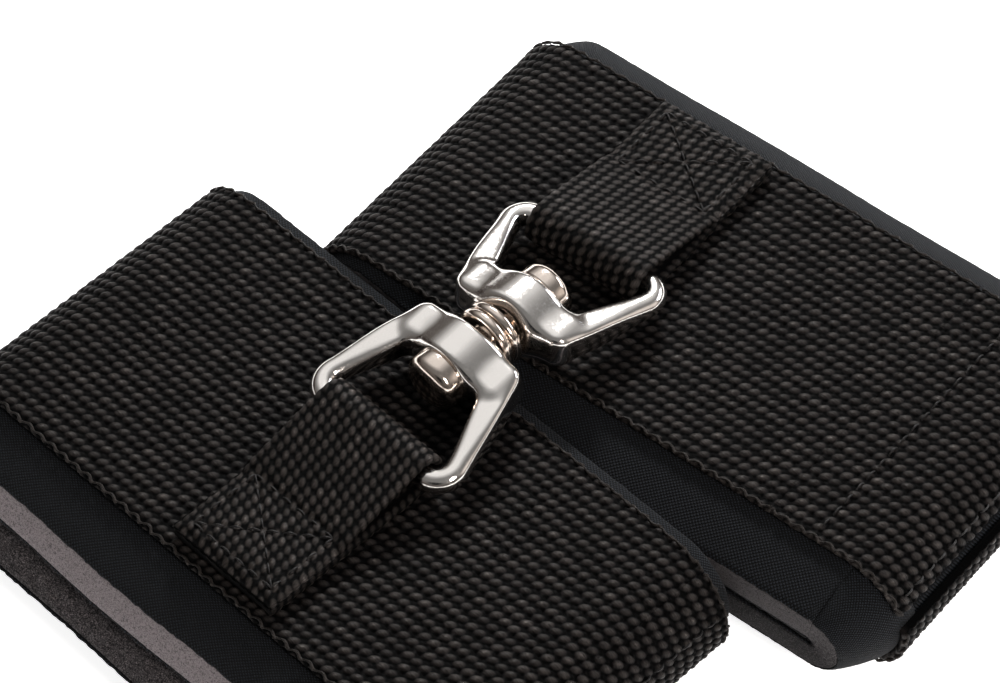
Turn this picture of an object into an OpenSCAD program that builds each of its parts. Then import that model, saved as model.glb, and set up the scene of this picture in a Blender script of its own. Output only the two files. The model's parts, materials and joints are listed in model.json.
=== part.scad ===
// A pair of padded webbing ankle cuffs, closed and lying flat, joined side by side by a
// double-eye swivel. Millimetres, +Z up. The origin is the middle of cuff A's underside.
// +X runs along the webbing, +Y from cuff A to cuff B along the swivel's rivet.

/* [Webbing band] */
// Width of the main webbing
band_w = 60; // [56:1:76]
// Thickness of the main webbing
band_t = 2; // [1.6:0.1:2.6]

/* [Cuff] */
// Length of a closed, flattened cuff along the webbing
cuff_l = 130; // [112:1:160]
// Height of the hollow inside a flattened cuff
hollow_h = 11; // [9:0.5:20]
// Foam thickness
foam_t = 5; // [4:0.5:8]
// Knit facing thickness, outside and inside
knit_t = 0.5; // [0.3:0.1:0.8]
// Pad rim beyond the webbing, away from the swivel, cuff A
rim_out_a = 10; // [4:0.5:14]
// Pad rim beyond the webbing, facing cuff B, cuff A
rim_in_a = 3; // [1:0.5:4]
// Pad rim beyond the webbing, away from the swivel, cuff B
rim_out_b = 8.5; // [4:0.5:14]
// Pad rim beyond the webbing, facing cuff A, cuff B
rim_in_b = 10; // [4:0.5:12]
// Space left between the two pads where they face each other
pad_gap = 0.6; // [0.4:0.1:2]
// Gap where the two ends of a pad meet under the flap
butt_gap = 0.6; // [0.3:0.1:1.5]
// Turn of cuff B in plan, against cuff A
yaw_b = 6.5; // [0:0.5:7]

/* [Closure] */
// Keeper centre to the flap's fold line, round the outer face
fold_run = 60; // [54:1:64]
// Keeper centre to the flap's end, round the outer face
flap_run = 86; // [80:1:92]
// Loop tape that shows between the flap's end and the start of the band
tape_show = 4.5; // [3:0.5:8]
// Width of the hook and loop tapes
tape_w = 50; // [30:1:54]
// Thickness of the loop tape
loop_t = 1.2; // [0.8:0.1:1.4]
// Thickness of the hook tape
hook_t = 1.2; // [0.8:0.1:1.4]

/* [Keeper] */
// Width of the narrow webbing that holds the swivel
keeper_w = 24; // [20:1:30]
// Thickness of the narrow webbing
keeper_t = 1.8; // [1.4:0.1:2.2]
// Length of the sewn part
sewn_l = 17; // [12:0.5:18]
// Free length from the last stitches to the crossbar's axis
free_l = 18.5; // [14:0.5:19]
// Crossbar axis to the selvedge that faces the other cuff
bar_inset = 22.5; // [21:0.5:23]
// Keeper centre to the oval's centre, cuff A
oval_dx_a = -4; // [-10:0.5:15]
// Keeper centre to the oval's centre, cuff B
oval_dx_b = 19.5; // [-10:0.5:24]

/* [Swivel] */
// Hub centre to crossbar axis
reach = 20.5; // [19:0.5:26]
// Angle at which each arm spreads from hub to crossbar
splay = 18; // [10:1:22]
// Radius of the crossbar and the arms
rod_r = 2.2; // [1.8:0.1:2.4]
// Centreline radius of the crossbar's corners
corner_r = 3; // [2.6:0.1:4.6]
// Hub length along the rivet
hub_l = 7; // [5:0.5:8]
// Radius of the hub's boss
boss_r = 6.4; // [5.8:0.1:6.5]
// Height of the shoulders
shoulder_h = 5.2; // [4:0.2:6]
// Radius of the rivet's shank
shank_r = 2.8; // [2.4:0.1:3]
// Radius of the rivet's heads
head_r = 5.4; // [5:0.1:6]
// Thickness of a rivet head
head_l = 4.5; // [2.5:0.1:4.5]
// Radius of the washers
washer_r = 6.2; // [5.4:0.1:6.4]
// Thickness of one washer
washer_t = 2; // [1:0.1:2.5]
// Slope of each eye from hub to crossbar
droop = 8; // [4:0.5:9]
// Free angle that the eyes have on the rivet
play = 11; // [10.5:0.5:13]

/* [Stitching] */
// Length of one stitch
stitch_l = 2.2; // [1.5:0.1:3]
// Thread width
thread_w = 0.5; // [0.3:0.1:0.7]
// Height of a stitch above the webbing
thread_h = 0.3; // [0.2:0.05:0.5]
// Distance from one stitch to the next
stitch_pitch = 3; // [2.4:0.1:4]
// Distance of the box stitch from the keeper's edges
stitch_inset = 2.5; // [1.5:0.5:4]

/* [Hidden] */
$fn = 96;

// Radii of the layers, from the middle height of the flattened oval
lining_r = hollow_h / 2;
foam_r = lining_r + knit_t;
facing_r = foam_r + foam_t;
under_r = facing_r + knit_t;
outer_r = under_r + band_t;
hook_r = under_r - hook_t;
loop_r = hook_r - loop_t;

// Path round the outer face: straight, bend, straight, bend
cuff_h = 2 * outer_r;
straight = cuff_l - cuff_h;
bend_run = PI * outer_r;
half_lap = straight + bend_run;
facets = 20;      // flats round one bend
same_run = 0.01;  // runs closer than this are one corner

// Clearances
fold_gap = 0.2;     // between the band and the flap at the fold line
hook_margin = 2;    // webbing left bare at each end of the hook tape
tape_edge = 0.3;    // round the loop tape in its recess
bar_clear = 0.35;   // between the crossbar and the keeper's loop
side_clear = 0.3;   // between the keeper's edge and the crossbar's round corner
bore_clear = 0.15;  // between shank and bore with the eye at its full free angle
face_clear = 0.1;   // between hub and washer or head at the full free angle
shank_clear = 0.05; // between shank and washer
chamfer = 0.6;      // on washers, hubs and rivet heads

// Swivel places
bar_z = cuff_h + keeper_t + bar_clear + rod_r;
axis_z = bar_z + reach * sin(droop);
hub_dy = washer_t + hub_l / 2 * cos(play) + washer_r * sin(play) + face_clear;
head_dy = hub_dy + hub_l / 2 * cos(play) + head_r * sin(play) + face_clear;
bore_r = shank_r / cos(play) + hub_l / 2 * tan(play) + bore_clear;
bar_y_a = band_w / 2 - bar_inset;
swivel = [-oval_dx_a, bar_y_a + reach * cos(droop) + hub_dy, axis_z];
pad_edge_a = band_w / 2 + rim_in_a;
rims_a = [rim_out_a, rim_in_a];
rims_b = [rim_out_b, rim_in_b];
knit_col = [0.05, 0.055, 0.065];
web_col = [0.12, 0.11, 0.1];
thread_col = [0.16, 0.15, 0.14];
chrome_col = [0.82, 0.8, 0.78];

// A point on the path at run s and radius r, in X and Z. Run 0 is the middle of the top, and
// it grows towards +X. A bend has flat facets, so that layers meet face to face.
function bend_point(j, r) = [straight / 2 + r * sin(180 * j / facets), r * cos(180 * j / facets)];
function path_point(s, r) =
    let (k = floor((s + straight / 2) / half_lap),
        along = s - k * half_lap,
        t = max(along - straight / 2, 0) / bend_run * facets,
        j = floor(t),
        p = along <= straight / 2 ? [along, r]
            : (1 - t + j) * bend_point(j, r) + (t - j) * bend_point(j + 1, r))
    k % 2 == 0 ? p : -p;

// Runs of the path's corners between s0 and s1, with the two ends
function corner_runs(s0, s1) = [
    s0,
    for (k = [0:3]) for (j = [0:facets])
        let (s = k * half_lap + straight / 2 + bend_run * j / facets)
        if (s > s0 + same_run && s < s1 - same_run) s,
    s1];

// A layer of a cuff between two radii and two widths, from run s0 to run s1
module wrap(s0, s1, r0, r1, y0, y1) {
    runs = corner_runs(s0, s1);
    last = len(runs) - 1;
    translate([0, y1, 0]) rotate([90, 0, 0]) linear_extrude(y1 - y0) polygon([
        for (s = runs) path_point(s, r1),
        for (i = [0:last]) path_point(runs[last - i], r0)]);
}

// Children on the path at run s and radius r, local X along the path, local Z outwards
module on_path(s, r) {
    k = floor((s + straight / 2) / half_lap);
    along = s - k * half_lap;
    bend = max(along - straight / 2, 0);
    rotate([0, 180 * k, 0])
    translate([min(along, straight / 2), 0, 0])
    rotate([0, bend / bend_run * 180, 0])
    translate([0, 0, r]) children();
}

// A cuff's frame: the crossbar's axis crosses x = 0, y = 0, and the other cuff is towards +Y
// for cuff A and towards -Y for cuff B
module place_a() { translate([-oval_dx_a, bar_y_a, 0]) children(); }
module place_b() {
    translate([swivel[0], swivel[1] + hub_dy, 0]) rotate([0, 0, yaw_b])
    translate([0, reach * cos(droop), 0]) children();
}
module lift(dx) { translate([dx, 0, outer_r]) children(); }

// Widths across a cuff. facing is +1 where the other cuff is towards +Y, else -1
function span(facing, outside, inside) = facing > 0 ? [-outside, inside] : [-inside, outside];
function band_span(facing) = span(facing, band_w - bar_inset, bar_inset);
function tape_span(facing) = span(facing, band_w - bar_inset - (band_w - tape_w) / 2,
    bar_inset - (band_w - tape_w) / 2);

// Runs from the oval's centre, for a cuff whose oval centre lies dx from its keeper
function fold_s(dx) = fold_run - dx;
function flap_s(dx) = flap_run - dx;
function start_s(dx) = flap_s(dx) + tape_show;
function butt_s(dx) = (fold_s(dx) + flap_s(dx)) / 2;

module band(dx, facing) {
    y = band_span(facing);
    lift(dx) wrap(start_s(dx), fold_s(dx) + 2 * half_lap, under_r, outer_r, y[0], y[1]);
}

module flap(dx, facing) {
    y = band_span(facing);
    lift(dx) wrap(fold_s(dx) + fold_gap, flap_s(dx), under_r, outer_r, y[0], y[1]);
}

// A pad layer: open where its ends meet, and cut back for the tapes if it reaches that far out
module pad_layer(dx, facing, r0, r1, rims) {
    y = span(facing, band_w - bar_inset + rims[0], bar_inset + rims[1]);
    t = tape_span(facing);
    lift(dx) difference() {
        wrap(butt_s(dx) + butt_gap / 2, butt_s(dx) - butt_gap / 2 + 2 * half_lap,
            r0, r1, y[0], y[1]);
        if (r1 > loop_r) wrap(fold_s(dx), start_s(dx), loop_r, outer_r, t[0], t[1]);
    }
}

module loop_tape(dx, facing) {
    t = tape_span(facing);
    lift(dx) wrap(fold_s(dx) + tape_edge, start_s(dx) - tape_edge, loop_r, hook_r,
        t[0] + tape_edge, t[1] - tape_edge);
}

module hook_tape(dx, facing) {
    t = tape_span(facing);
    lift(dx) wrap(fold_s(dx) + hook_margin, flap_s(dx) - hook_margin / 2, hook_r, under_r,
        t[0] + tape_edge, t[1] - tape_edge);
}

// The point where a line from p touches the upper side of a circle of radius r round c
function touch(p, c, r) =
    let (d = c - p, far = norm(d), a = atan2(d[1], d[0]) + 180 - acos(r / far))
    c + r * [cos(a), sin(a)];

// A body of constant section along X, from outline points in Y and Z
module along_x(w, outline) {
    translate([-w / 2, 0, 0]) rotate([90, 0, 90]) linear_extrude(w) polygon(outline);
}
module bar_cylinder(w, r) {
    translate([-w / 2, 0, bar_z]) rotate([0, 90, 0]) cylinder(h = w, r = r);
}

// Narrow webbing sewn on the band, round the crossbar and back, drawn for cuff A
module keeper_body() {
    c = [0, bar_z];
    mid_z = cuff_h + keeper_t;
    top_z = cuff_h + 2 * keeper_t;
    inner_r = rod_r + bar_clear;
    difference() {
        union() {
            along_x(keeper_w, [[-free_l - sewn_l, cuff_h], [0, cuff_h], c,
                touch([-free_l, top_z], c, inner_r + keeper_t),
                [-free_l, top_z], [-free_l - sewn_l, top_z]]);
            bar_cylinder(keeper_w, inner_r + keeper_t);
        }
        along_x(keeper_w + 1, [[-free_l, mid_z], [0, mid_z], c,
            touch([-free_l, mid_z], c, inner_r)]);
        bar_cylinder(keeper_w + 1, inner_r);
    }
}
module keeper(facing) { mirror([0, facing > 0 ? 0 : 1, 0]) keeper_body(); }

// Stitches in a row from p to q on a face at z = 0
module stitch_row(p, q) {
    run = norm(q - p);
    count = floor((run - stitch_l) / stitch_pitch) + 1;
    step = count > 1 ? (run - stitch_l) / (count - 1) : 0;
    translate([p[0], p[1], 0]) rotate([0, 0, atan2(q[1] - p[1], q[0] - p[0])])
    for (i = [0:count - 1])
        translate([i * step, -thread_w / 2, 0]) cube([stitch_l, thread_w, thread_h]);
}

// Box stitch with a cross, on the keeper's sewn part
module keeper_stitches(facing) {
    x = keeper_w / 2 - stitch_inset;
    y0 = -free_l - sewn_l + stitch_inset;
    y1 = -free_l;
    mirror([0, facing > 0 ? 0 : 1, 0]) translate([0, 0, cuff_h + 2 * keeper_t]) {
        stitch_row([-x, y1 - thread_w], [x, y1 - thread_w]);
        stitch_row([-x, y0], [x, y0]);
        for (side = [-1, 1]) {
            stitch_row([side * x, y0], [side * x, y1 - thread_w]);
            stitch_row([-side * x, y0], [side * x, y1 - thread_w]);
        }
    }
}

// A seam across the webbing at run s
module cross_seam(dx, facing, s) {
    y = band_span(facing);
    lift(dx) on_path(s, outer_r)
        stitch_row([0, y[0] + stitch_inset], [0, y[1] - stitch_inset]);
}
module flap_stitches(dx, facing) {
    cross_seam(dx, facing, fold_s(dx) + hook_margin + stitch_inset);
    cross_seam(dx, facing, flap_s(dx) - hook_margin - thread_w);
}
module band_stitches(dx, facing) {
    for (turn = [-1, 1])
        cross_seam(dx, facing, half_lap + straight / 2 + bend_run / 2 + turn * stitch_pitch);
}

// An arm and the round corner to the crossbar, drawn for the +X side
cut = corner_r / tan(45 - splay / 2);
corner = [keeper_w / 2 + side_clear + cut, -reach];
shoulder = [corner[0] - reach * tan(splay), 0];
arm = shoulder - corner;
lap = 0.3;   // straight rods run this far into a round corner
seam = 0.02; // and are this much thinner in radius, so that they end inside it
module half_bow() {
    rod(corner + arm / norm(arm) * (cut - lap), shoulder);
    translate([corner[0] - cut, corner_r - reach, 0]) rotate([0, 0, -90])
        rotate_extrude(angle = 90 + splay) translate([corner_r, 0]) circle(r = rod_r);
    translate(shoulder) cylinder(h = shoulder_h, r = rod_r, center = true);
}
module rod(p, q) {
    translate([p[0], p[1], 0]) rotate([0, 0, atan2(q[1] - p[1], q[0] - p[0])])
        rotate([0, 90, 0]) cylinder(h = norm(q - p), r = rod_r - seam);
}

// A bar turned about Y with chamfered ends, centred
module turned(r, l) {
    rotate([90, 0, 0]) rotate_extrude()
        polygon([[0, -l / 2], [r - chamfer, -l / 2], [r, chamfer - l / 2],
            [r, l / 2 - chamfer], [r - chamfer, l / 2], [0, l / 2]]);
}

// One eye: hub bored along Y, shoulders, arms and crossbar towards -Y
module eye() {
    plate_l = hub_l - 2 * chamfer;
    difference() {
        union() {
            turned(boss_r, hub_l);
            translate([-shoulder[0], -plate_l / 2, -shoulder_h / 2])
                cube([2 * shoulder[0], plate_l, shoulder_h]);
            rod([cut - lap - corner[0], -reach], [corner[0] - cut + lap, -reach]);
            half_bow();
            mirror([1, 0, 0]) half_bow();
        }
        rotate([90, 0, 0]) cylinder(h = 2 * hub_l, r = bore_r, center = true);
    }
}
module at_swivel() { translate(swivel) children(); }

// Rivet: shank with a domed head at each end, the dome being a slice of a sphere
module swivel_rivet() {
    color(chrome_col) at_swivel() {
        rotate([90, 0, 0]) cylinder(h = 2 * head_dy + head_l, r = shank_r, center = true);
        for (end = [0, 180]) rotate([0, 0, end]) translate([0, -head_dy, 0]) intersection() {
            translate([0, -head_l / 2, 0]) turned(head_r, head_l);
            translate([0, 2 * head_r - head_l, 0]) sphere(r = 2 * head_r);
        }
    }
}
module washer(side) {
    color(chrome_col) at_swivel() translate([0, side * washer_t / 2, 0]) difference() {
        turned(washer_r, washer_t);
        rotate([90, 0, 0])
            cylinder(h = 2 * washer_t, r = shank_r + shank_clear, center = true);
    }
}

module band_a() { color(web_col) place_a() band(oval_dx_a, 1); }
module flap_a() { color(web_col) place_a() flap(oval_dx_a, 1); }
module pad_layer_a(r0, r1) { place_a() pad_layer(oval_dx_a, 1, r0, r1, rims_a); }
module foam_pad_a() { color("dimgray") pad_layer_a(foam_r, facing_r); }
module pad_facing_a() { color(knit_col) pad_layer_a(facing_r, under_r); }
module pad_lining_a() { color(knit_col) pad_layer_a(lining_r, foam_r); }
module loop_tape_a() { color(knit_col) place_a() loop_tape(oval_dx_a, 1); }
module hook_tape_a() { color(knit_col) place_a() hook_tape(oval_dx_a, 1); }
module keeper_a() { color(web_col) place_a() keeper(1); }
module keeper_stitches_a() { color(thread_col) place_a() keeper_stitches(1); }
module flap_stitches_a() { color(thread_col) place_a() flap_stitches(oval_dx_a, 1); }
module band_stitches_a() { color(thread_col) place_a() band_stitches(oval_dx_a, 1); }

module band_b() { color(web_col) place_b() band(oval_dx_b, -1); }
module flap_b() { color(web_col) place_b() flap(oval_dx_b, -1); }
// Cuff B's pad stops short of cuff A's, which presses its rim back
module pad_layer_b(r0, r1) {
    difference() {
        place_b() pad_layer(oval_dx_b, -1, r0, r1, rims_b);
        translate([-cuff_l, pad_edge_a + pad_gap - band_w, -1])
            cube([3 * cuff_l, band_w, cuff_h + 2]);
    }
}
module foam_pad_b() { color("dimgray") pad_layer_b(foam_r, facing_r); }
module pad_facing_b() { color(knit_col) pad_layer_b(facing_r, under_r); }
module pad_lining_b() { color(knit_col) pad_layer_b(lining_r, foam_r); }
module loop_tape_b() { color(knit_col) place_b() loop_tape(oval_dx_b, -1); }
module hook_tape_b() { color(knit_col) place_b() hook_tape(oval_dx_b, -1); }
module keeper_b() { color(web_col) place_b() keeper(-1); }
module keeper_stitches_b() { color(thread_col) place_b() keeper_stitches(-1); }
module flap_stitches_b() { color(thread_col) place_b() flap_stitches(oval_dx_b, -1); }
module band_stitches_b() { color(thread_col) place_b() band_stitches(oval_dx_b, -1); }

module eye_a() {
    color(chrome_col) at_swivel() translate([0, -hub_dy, 0]) rotate([droop, 0, 0]) eye();
}
module eye_b() {
    color(chrome_col) at_swivel() translate([0, hub_dy, 0]) rotate([0, 0, yaw_b + 180])
        rotate([droop, 0, 0]) eye();
}

band_a();
flap_a();
foam_pad_a();
pad_facing_a();
pad_lining_a();
loop_tape_a();
hook_tape_a();
keeper_a();
keeper_stitches_a();
flap_stitches_a();
band_stitches_a();
band_b();
flap_b();
foam_pad_b();
pad_facing_b();
pad_lining_b();
loop_tape_b();
hook_tape_b();
keeper_b();
keeper_stitches_b();
flap_stitches_b();
band_stitches_b();
eye_a();
eye_b();
swivel_rivet();
washer(-1);  // washer_a
washer(1);  // washer_b
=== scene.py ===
"""Looks of a pair of padded webbing ankle cuffs, closed and lying flat, joined by a double-eye swivel.

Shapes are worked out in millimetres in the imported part's own frame and put into meshes in metres.
A cuff's layers follow one path: run s (mm) goes round the flattened oval, v (mm) goes across the
webbing, and r (mm) is the distance from the oval's mid height.
"""
import json
import logging
import math
from dataclasses import dataclass, field
from enum import Enum
from typing import Callable, Optional

import bpy
import numpy as np
from mathutils import Matrix, Vector


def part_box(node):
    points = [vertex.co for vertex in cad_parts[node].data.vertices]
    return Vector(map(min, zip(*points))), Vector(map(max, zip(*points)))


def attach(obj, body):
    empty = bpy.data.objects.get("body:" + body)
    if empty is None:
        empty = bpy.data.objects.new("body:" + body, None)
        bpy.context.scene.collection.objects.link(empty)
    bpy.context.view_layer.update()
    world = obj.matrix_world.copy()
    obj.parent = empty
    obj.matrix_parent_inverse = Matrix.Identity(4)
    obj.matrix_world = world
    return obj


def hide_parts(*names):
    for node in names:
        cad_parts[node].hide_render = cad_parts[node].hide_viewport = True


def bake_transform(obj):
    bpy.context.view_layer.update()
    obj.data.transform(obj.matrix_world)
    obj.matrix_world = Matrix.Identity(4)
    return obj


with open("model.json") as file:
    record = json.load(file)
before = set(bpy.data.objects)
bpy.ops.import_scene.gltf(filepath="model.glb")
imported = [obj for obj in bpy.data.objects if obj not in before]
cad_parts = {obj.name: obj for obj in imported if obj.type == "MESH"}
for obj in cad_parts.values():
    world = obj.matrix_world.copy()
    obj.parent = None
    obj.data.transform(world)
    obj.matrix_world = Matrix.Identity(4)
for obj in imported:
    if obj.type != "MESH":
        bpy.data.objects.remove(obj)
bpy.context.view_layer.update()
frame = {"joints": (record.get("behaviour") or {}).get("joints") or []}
LOG = logging.getLogger("cuffs")
MM = 0.001
LAY = "lay"  # attribute with run, across and relief
TONE = "tone"  # attribute with the shade of each yarn, painted highlights along the edge threads, and painted light on foam that faces up
Array = np.ndarray


class Side(Enum):
    """The two cuffs of the pair."""

    A = "a"
    B = "b"


# ---------------------------------------------------------------- node and mesh helpers


def linear(code: str) -> tuple[float, float, float, float]:
    """Turns an sRGB hex colour into linear light.

    Args:
        code: Colour as "#rrggbb".

    Returns:
        Linear red, green, blue and an alpha of 1.
    """
    values = [int(code[i:i + 2], 16) / 255 for i in (1, 3, 5)]
    low = [c / 12.92 if c <= 0.04045 else ((c + 0.055) / 1.055) ** 2.4 for c in values]
    return (low[0], low[1], low[2], 1.0)


def add(tree: bpy.types.NodeTree, kind: str, inputs: dict, **settings: object) -> bpy.types.Node:
    """Adds one node with its settings and links.

    Args:
        tree: Node tree that gets the node.
        kind: Node type, such as "ShaderNodeBump".
        inputs: Socket name or index to a value, or to the output socket that feeds it.
        settings: Attributes of the node itself.

    Returns:
        The new node.
    """
    node = tree.nodes.new(kind)
    for key, value in settings.items():
        setattr(node, key, value)
    for key, value in inputs.items():
        if isinstance(value, bpy.types.NodeSocket):
            tree.links.new(value, node.inputs[key])
        else:
            node.inputs[key].default_value = value
    return node


def ramp(tree: bpy.types.NodeTree, source: bpy.types.NodeSocket, stops: list[tuple[float, str]]
         ) -> bpy.types.NodeSocket:
    """Adds a colour ramp.

    Args:
        tree: Node tree.
        source: Value from 0 to 1.
        stops: Places from 0 to 1 with their sRGB hex colours, in rising order.

    Returns:
        The ramp's colour output.
    """
    node = add(tree, "ShaderNodeValToRGB", {0: source})
    points = node.color_ramp.elements
    while len(points) < len(stops):
        points.new(0.5)
    for point, (place, code) in zip(points, stops):
        point.position = place
        point.color = linear(code)
    return node.outputs[0]


def put_mesh(name: str, points: Array, faces: list[Array], flat: Optional[Array] = None,
             lay: Optional[Array] = None, tone: Optional[Array] = None) -> bpy.types.Object:
    """Puts arrays into a new mesh object at the origin.

    Args:
        name: Piece name.
        points: (n, 3) places in mm, in the row frame.
        faces: Arrays of face corners, each of one face size.
        flat: Which faces are shaded flat, in the order of faces, or None for all smooth.
        lay: (n, 3) run, across and relief for each point, for patterns that follow the surface.
        tone: (n,) from 0 to 1: the shade of each yarn, painted highlights on edge threads, painted light on
            foam that faces up.

    Returns:
        The object, linked to the scene.
    """
    sizes = np.concatenate([np.full(len(f), f.shape[1]) for f in faces])
    corners = np.concatenate([f.ravel() for f in faces]).astype(np.int32)
    starts = np.concatenate([[0], np.cumsum(sizes)[:-1]]).astype(np.int32)
    mesh = bpy.data.meshes.new(name)
    mesh.vertices.add(len(points))
    mesh.vertices.foreach_set("co", (points * MM).astype(np.float32).ravel())
    mesh.loops.add(len(corners))
    mesh.loops.foreach_set("vertex_index", corners)
    mesh.polygons.add(len(sizes))
    mesh.polygons.foreach_set("loop_start", starts)
    mesh.update(calc_edges=True)
    smooth = np.ones(len(sizes), bool) if flat is None else ~flat
    mesh.polygons.foreach_set("use_smooth", smooth)
    if lay is not None:
        mesh.attributes.new(LAY, "FLOAT_VECTOR", "POINT").data.foreach_set(
            "vector", lay.astype(np.float32).ravel())
    if tone is not None:
        mesh.attributes.new(TONE, "FLOAT", "POINT").data.foreach_set(
            "value", tone.astype(np.float32).ravel())
    mesh.validate()
    piece = bpy.data.objects.new(name, mesh)
    bpy.context.scene.collection.objects.link(piece)
    return piece


def volume(points: Array, quads: Array) -> float:
    """Signed volume of a closed mesh of quads: a sixth of the sum of triple products of its triangles."""
    a, b, c, d = (points[quads[:, i]] for i in range(4))
    return float(np.einsum("ij,ij->", a, np.cross(b, c) + np.cross(c, d)) / 6)


def tube(name: str, rows: Array, lay: Optional[Array] = None, tone: Optional[Array] = None,
         ring: bool = False) -> bpy.types.Object:
    """Closed body from a closed profile carried along a path.

    Point (i, j) is joined to its neighbours in i along the path and in j round the profile. The two
    ends are capped by one flat face each, or joined to each other in a ring.

    Args:
        name: Piece name.
        rows: (n, m, 3) points, n places along the path and m round the profile.
        lay: (n, m, 3) surface coordinates.
        tone: (n, m) yarn shade, painted highlight on edge threads, painted light on foam that faces up.
        ring: True if the path closes on itself.

    Returns:
        The object, with faces outwards.
    """
    n, m = rows.shape[:2]
    index = np.arange(n * m).reshape(n, m)
    a = index if ring else index[:-1]
    b = np.roll(index, -1, 0) if ring else index[1:]
    quads = np.stack([a, b, np.roll(b, -1, 1), np.roll(a, -1, 1)], -1).reshape(-1, 4)
    points = rows.reshape(-1, 3)
    caps = np.empty((0, m), int) if ring else np.stack([index[0], index[-1][::-1]])
    if volume(points - points.mean(0), quads) < 0:
        quads, caps = quads[:, ::-1], caps[:, ::-1]
    faces = [quads] if ring else [quads, caps]
    flat = None if ring else np.arange(len(quads) + 2) >= len(quads)
    lay = None if lay is None else lay.reshape(-1, 3)
    tone = None if tone is None else tone.reshape(-1)
    return put_mesh(name, points, faces, flat, lay, tone)


def blobs(name: str, rows: Array) -> bpy.types.Object:
    """Many small closed bodies of one shape in one mesh.

    Args:
        name: Piece name.
        rows: (count, n, m, 3) points, each body being n rings of m points with capped ends.

    Returns:
        The object, with faces outwards.
    """
    count, n, m = rows.shape[:3]
    index = np.arange(n * m).reshape(n, m)
    quads = np.stack([index[:-1], index[1:], np.roll(index[1:], -1, 1), np.roll(index[:-1], -1, 1)],
                     -1).reshape(-1, 4)
    caps = np.stack([index[0], index[-1][::-1]])
    one = rows[0].reshape(-1, 3)
    if volume(one - one.mean(0), quads) < 0:
        quads, caps = quads[:, ::-1], caps[:, ::-1]
    shift = (np.arange(count) * n * m)[:, None, None]
    return put_mesh(name, rows.reshape(-1, 3),
                    [(quads + shift).reshape(-1, 4), (caps + shift).reshape(-1, m)])


def hashed(*keys: Array) -> Array:
    """Repeatable values from 0 to 1 for whole-number keys: the fraction of a large sine of their sum."""
    total = sum(key * factor for key, factor in zip(keys, (12.9898, 78.233, 37.719)))
    return np.modf(np.abs(np.sin(total) * 43758.5453))[0]


def grain(x: Array, y: Array) -> Array:
    """Value noise with unit cells: hashed corners joined by a smooth step.

    Args:
        x: First coordinate, in cells.
        y: Second coordinate, in cells.

    Returns:
        Noise from -1 to 1.
    """
    i, j = np.floor(x), np.floor(y)
    fx, fy = x - i, y - j
    fx, fy = fx * fx * (3 - 2 * fx), fy * fy * (3 - 2 * fy)
    low = hashed(i, j) * (1 - fx) + hashed(i + 1, j) * fx
    high = hashed(i, j + 1) * (1 - fx) + hashed(i + 1, j + 1) * fx
    return (low * (1 - fy) + high * fy) * 2 - 1


def step(x: Array, start: float, end: float) -> Array:
    """Smooth step: 0 before start, 1 after end, 3t^2 - 2t^3 between."""
    t = np.clip((x - start) / (end - start), 0, 1)
    return t * t * (3 - 2 * t)


# ---------------------------------------------------------------- weave


@dataclass
class Weave:
    """Double-face webbing weave: chains of yarn beads along the webbing, two kinds side by side."""

    chain: float = 1.12  # mm from a chain of the first kind to the next of the second
    long_pitch: float = 2.02  # mm between beads of the first kind
    short_pitch: float = 1.515  # mm between beads of the second kind
    long_half: float = 1.22
    short_half: float = 0.8
    long_across: float = 1.12
    short_across: float = 0.42
    short_height: float = 0.62  # the second kind lies lower, between the first
    long_shift: float = 0.67  # mm that each next chain of the first kind is set on
    short_shift: float = -0.38
    slant: float = -0.5  # mm along for each mm across, which gives the beads their leaf shape
    stray: float = 0.16  # mm that a bead may lie off its place
    tilt: float = 0.1  # share of its height that a bead loses towards its far end
    scale: float = 1.0

    def relief(self, s: Array, v: Array) -> tuple[Array, Array]:
        """Height of the beads over the ground of the weave.

        Each bead is an ellipsoid: height is the root of 1 - (ds/a)^2 - (dv/b)^2, and the highest of
        the beads in the nearest three chains counts.

        Args:
            s: Run along the webbing, mm.
            v: Place across the webbing, mm.

        Returns:
            Height from 0 to 1, and the shade of the yarn that is on top.
        """
        s, v = s / self.scale, v / self.scale
        near = np.round(v / self.chain)
        best, tone = np.zeros_like(s), np.full_like(s, 0.5)
        for offset in (-1, 0, 1):
            k = near + offset
            kind = np.mod(k, 2)
            pitch = np.where(kind == 0, self.long_pitch, self.short_pitch)
            half = np.where(kind == 0, self.long_half, self.short_half)
            shift = np.where(kind == 0, self.long_shift, self.short_shift) * np.floor(k / 2)
            lean = np.where(kind == 0, self.slant, -self.slant)
            wide = np.where(kind == 0, self.long_across, self.short_across)
            top = np.where(kind == 0, 1.0, self.short_height)
            dv = v - k * self.chain
            for turn in (-0.5, 0.5):
                i = np.round((s - shift) / pitch + turn * 0.5)
                own = hashed(i, k)
                ds = s - shift - i * pitch - (own - 0.5) * self.stray + lean * dv
                lift = 1 - (ds / half) ** 2 - (dv / (wide * (0.94 + 0.12 * own))) ** 2
                height = np.sqrt(np.maximum(lift, 0)) * top * (0.86 + 0.14 * hashed(k, i))
                height = height * (0.93 - self.tilt * ds / half)
                tone = np.where(height > best, own, tone)
                best = np.maximum(best, height)
        return best, tone


# ---------------------------------------------------------------- finishes


@dataclass(frozen=True)
class Finish:
    """A finish that dresses one piece or several."""

    name: str

    def shader(self, **sockets: object) -> tuple[bpy.types.Material, bpy.types.NodeTree, bpy.types.Node]:
        """Starts a material with one Principled shader.

        Args:
            sockets: Socket names, with _ for a space, to uniform values.

        Returns:
            The material, its tree and the shader.
        """
        material = bpy.data.materials.new(self.name)
        material.use_nodes = True
        tree = material.node_tree
        tree.nodes.clear()
        inputs = {key.replace("_", " "): value for key, value in sockets.items()}
        shader = add(tree, "ShaderNodeBsdfPrincipled", inputs)
        add(tree, "ShaderNodeOutputMaterial", {0: shader.outputs[0]})
        return material, tree, shader

    def build(self) -> bpy.types.Material:
        """Makes the material, in each kind of finish its own way."""
        raise NotImplementedError


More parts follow.
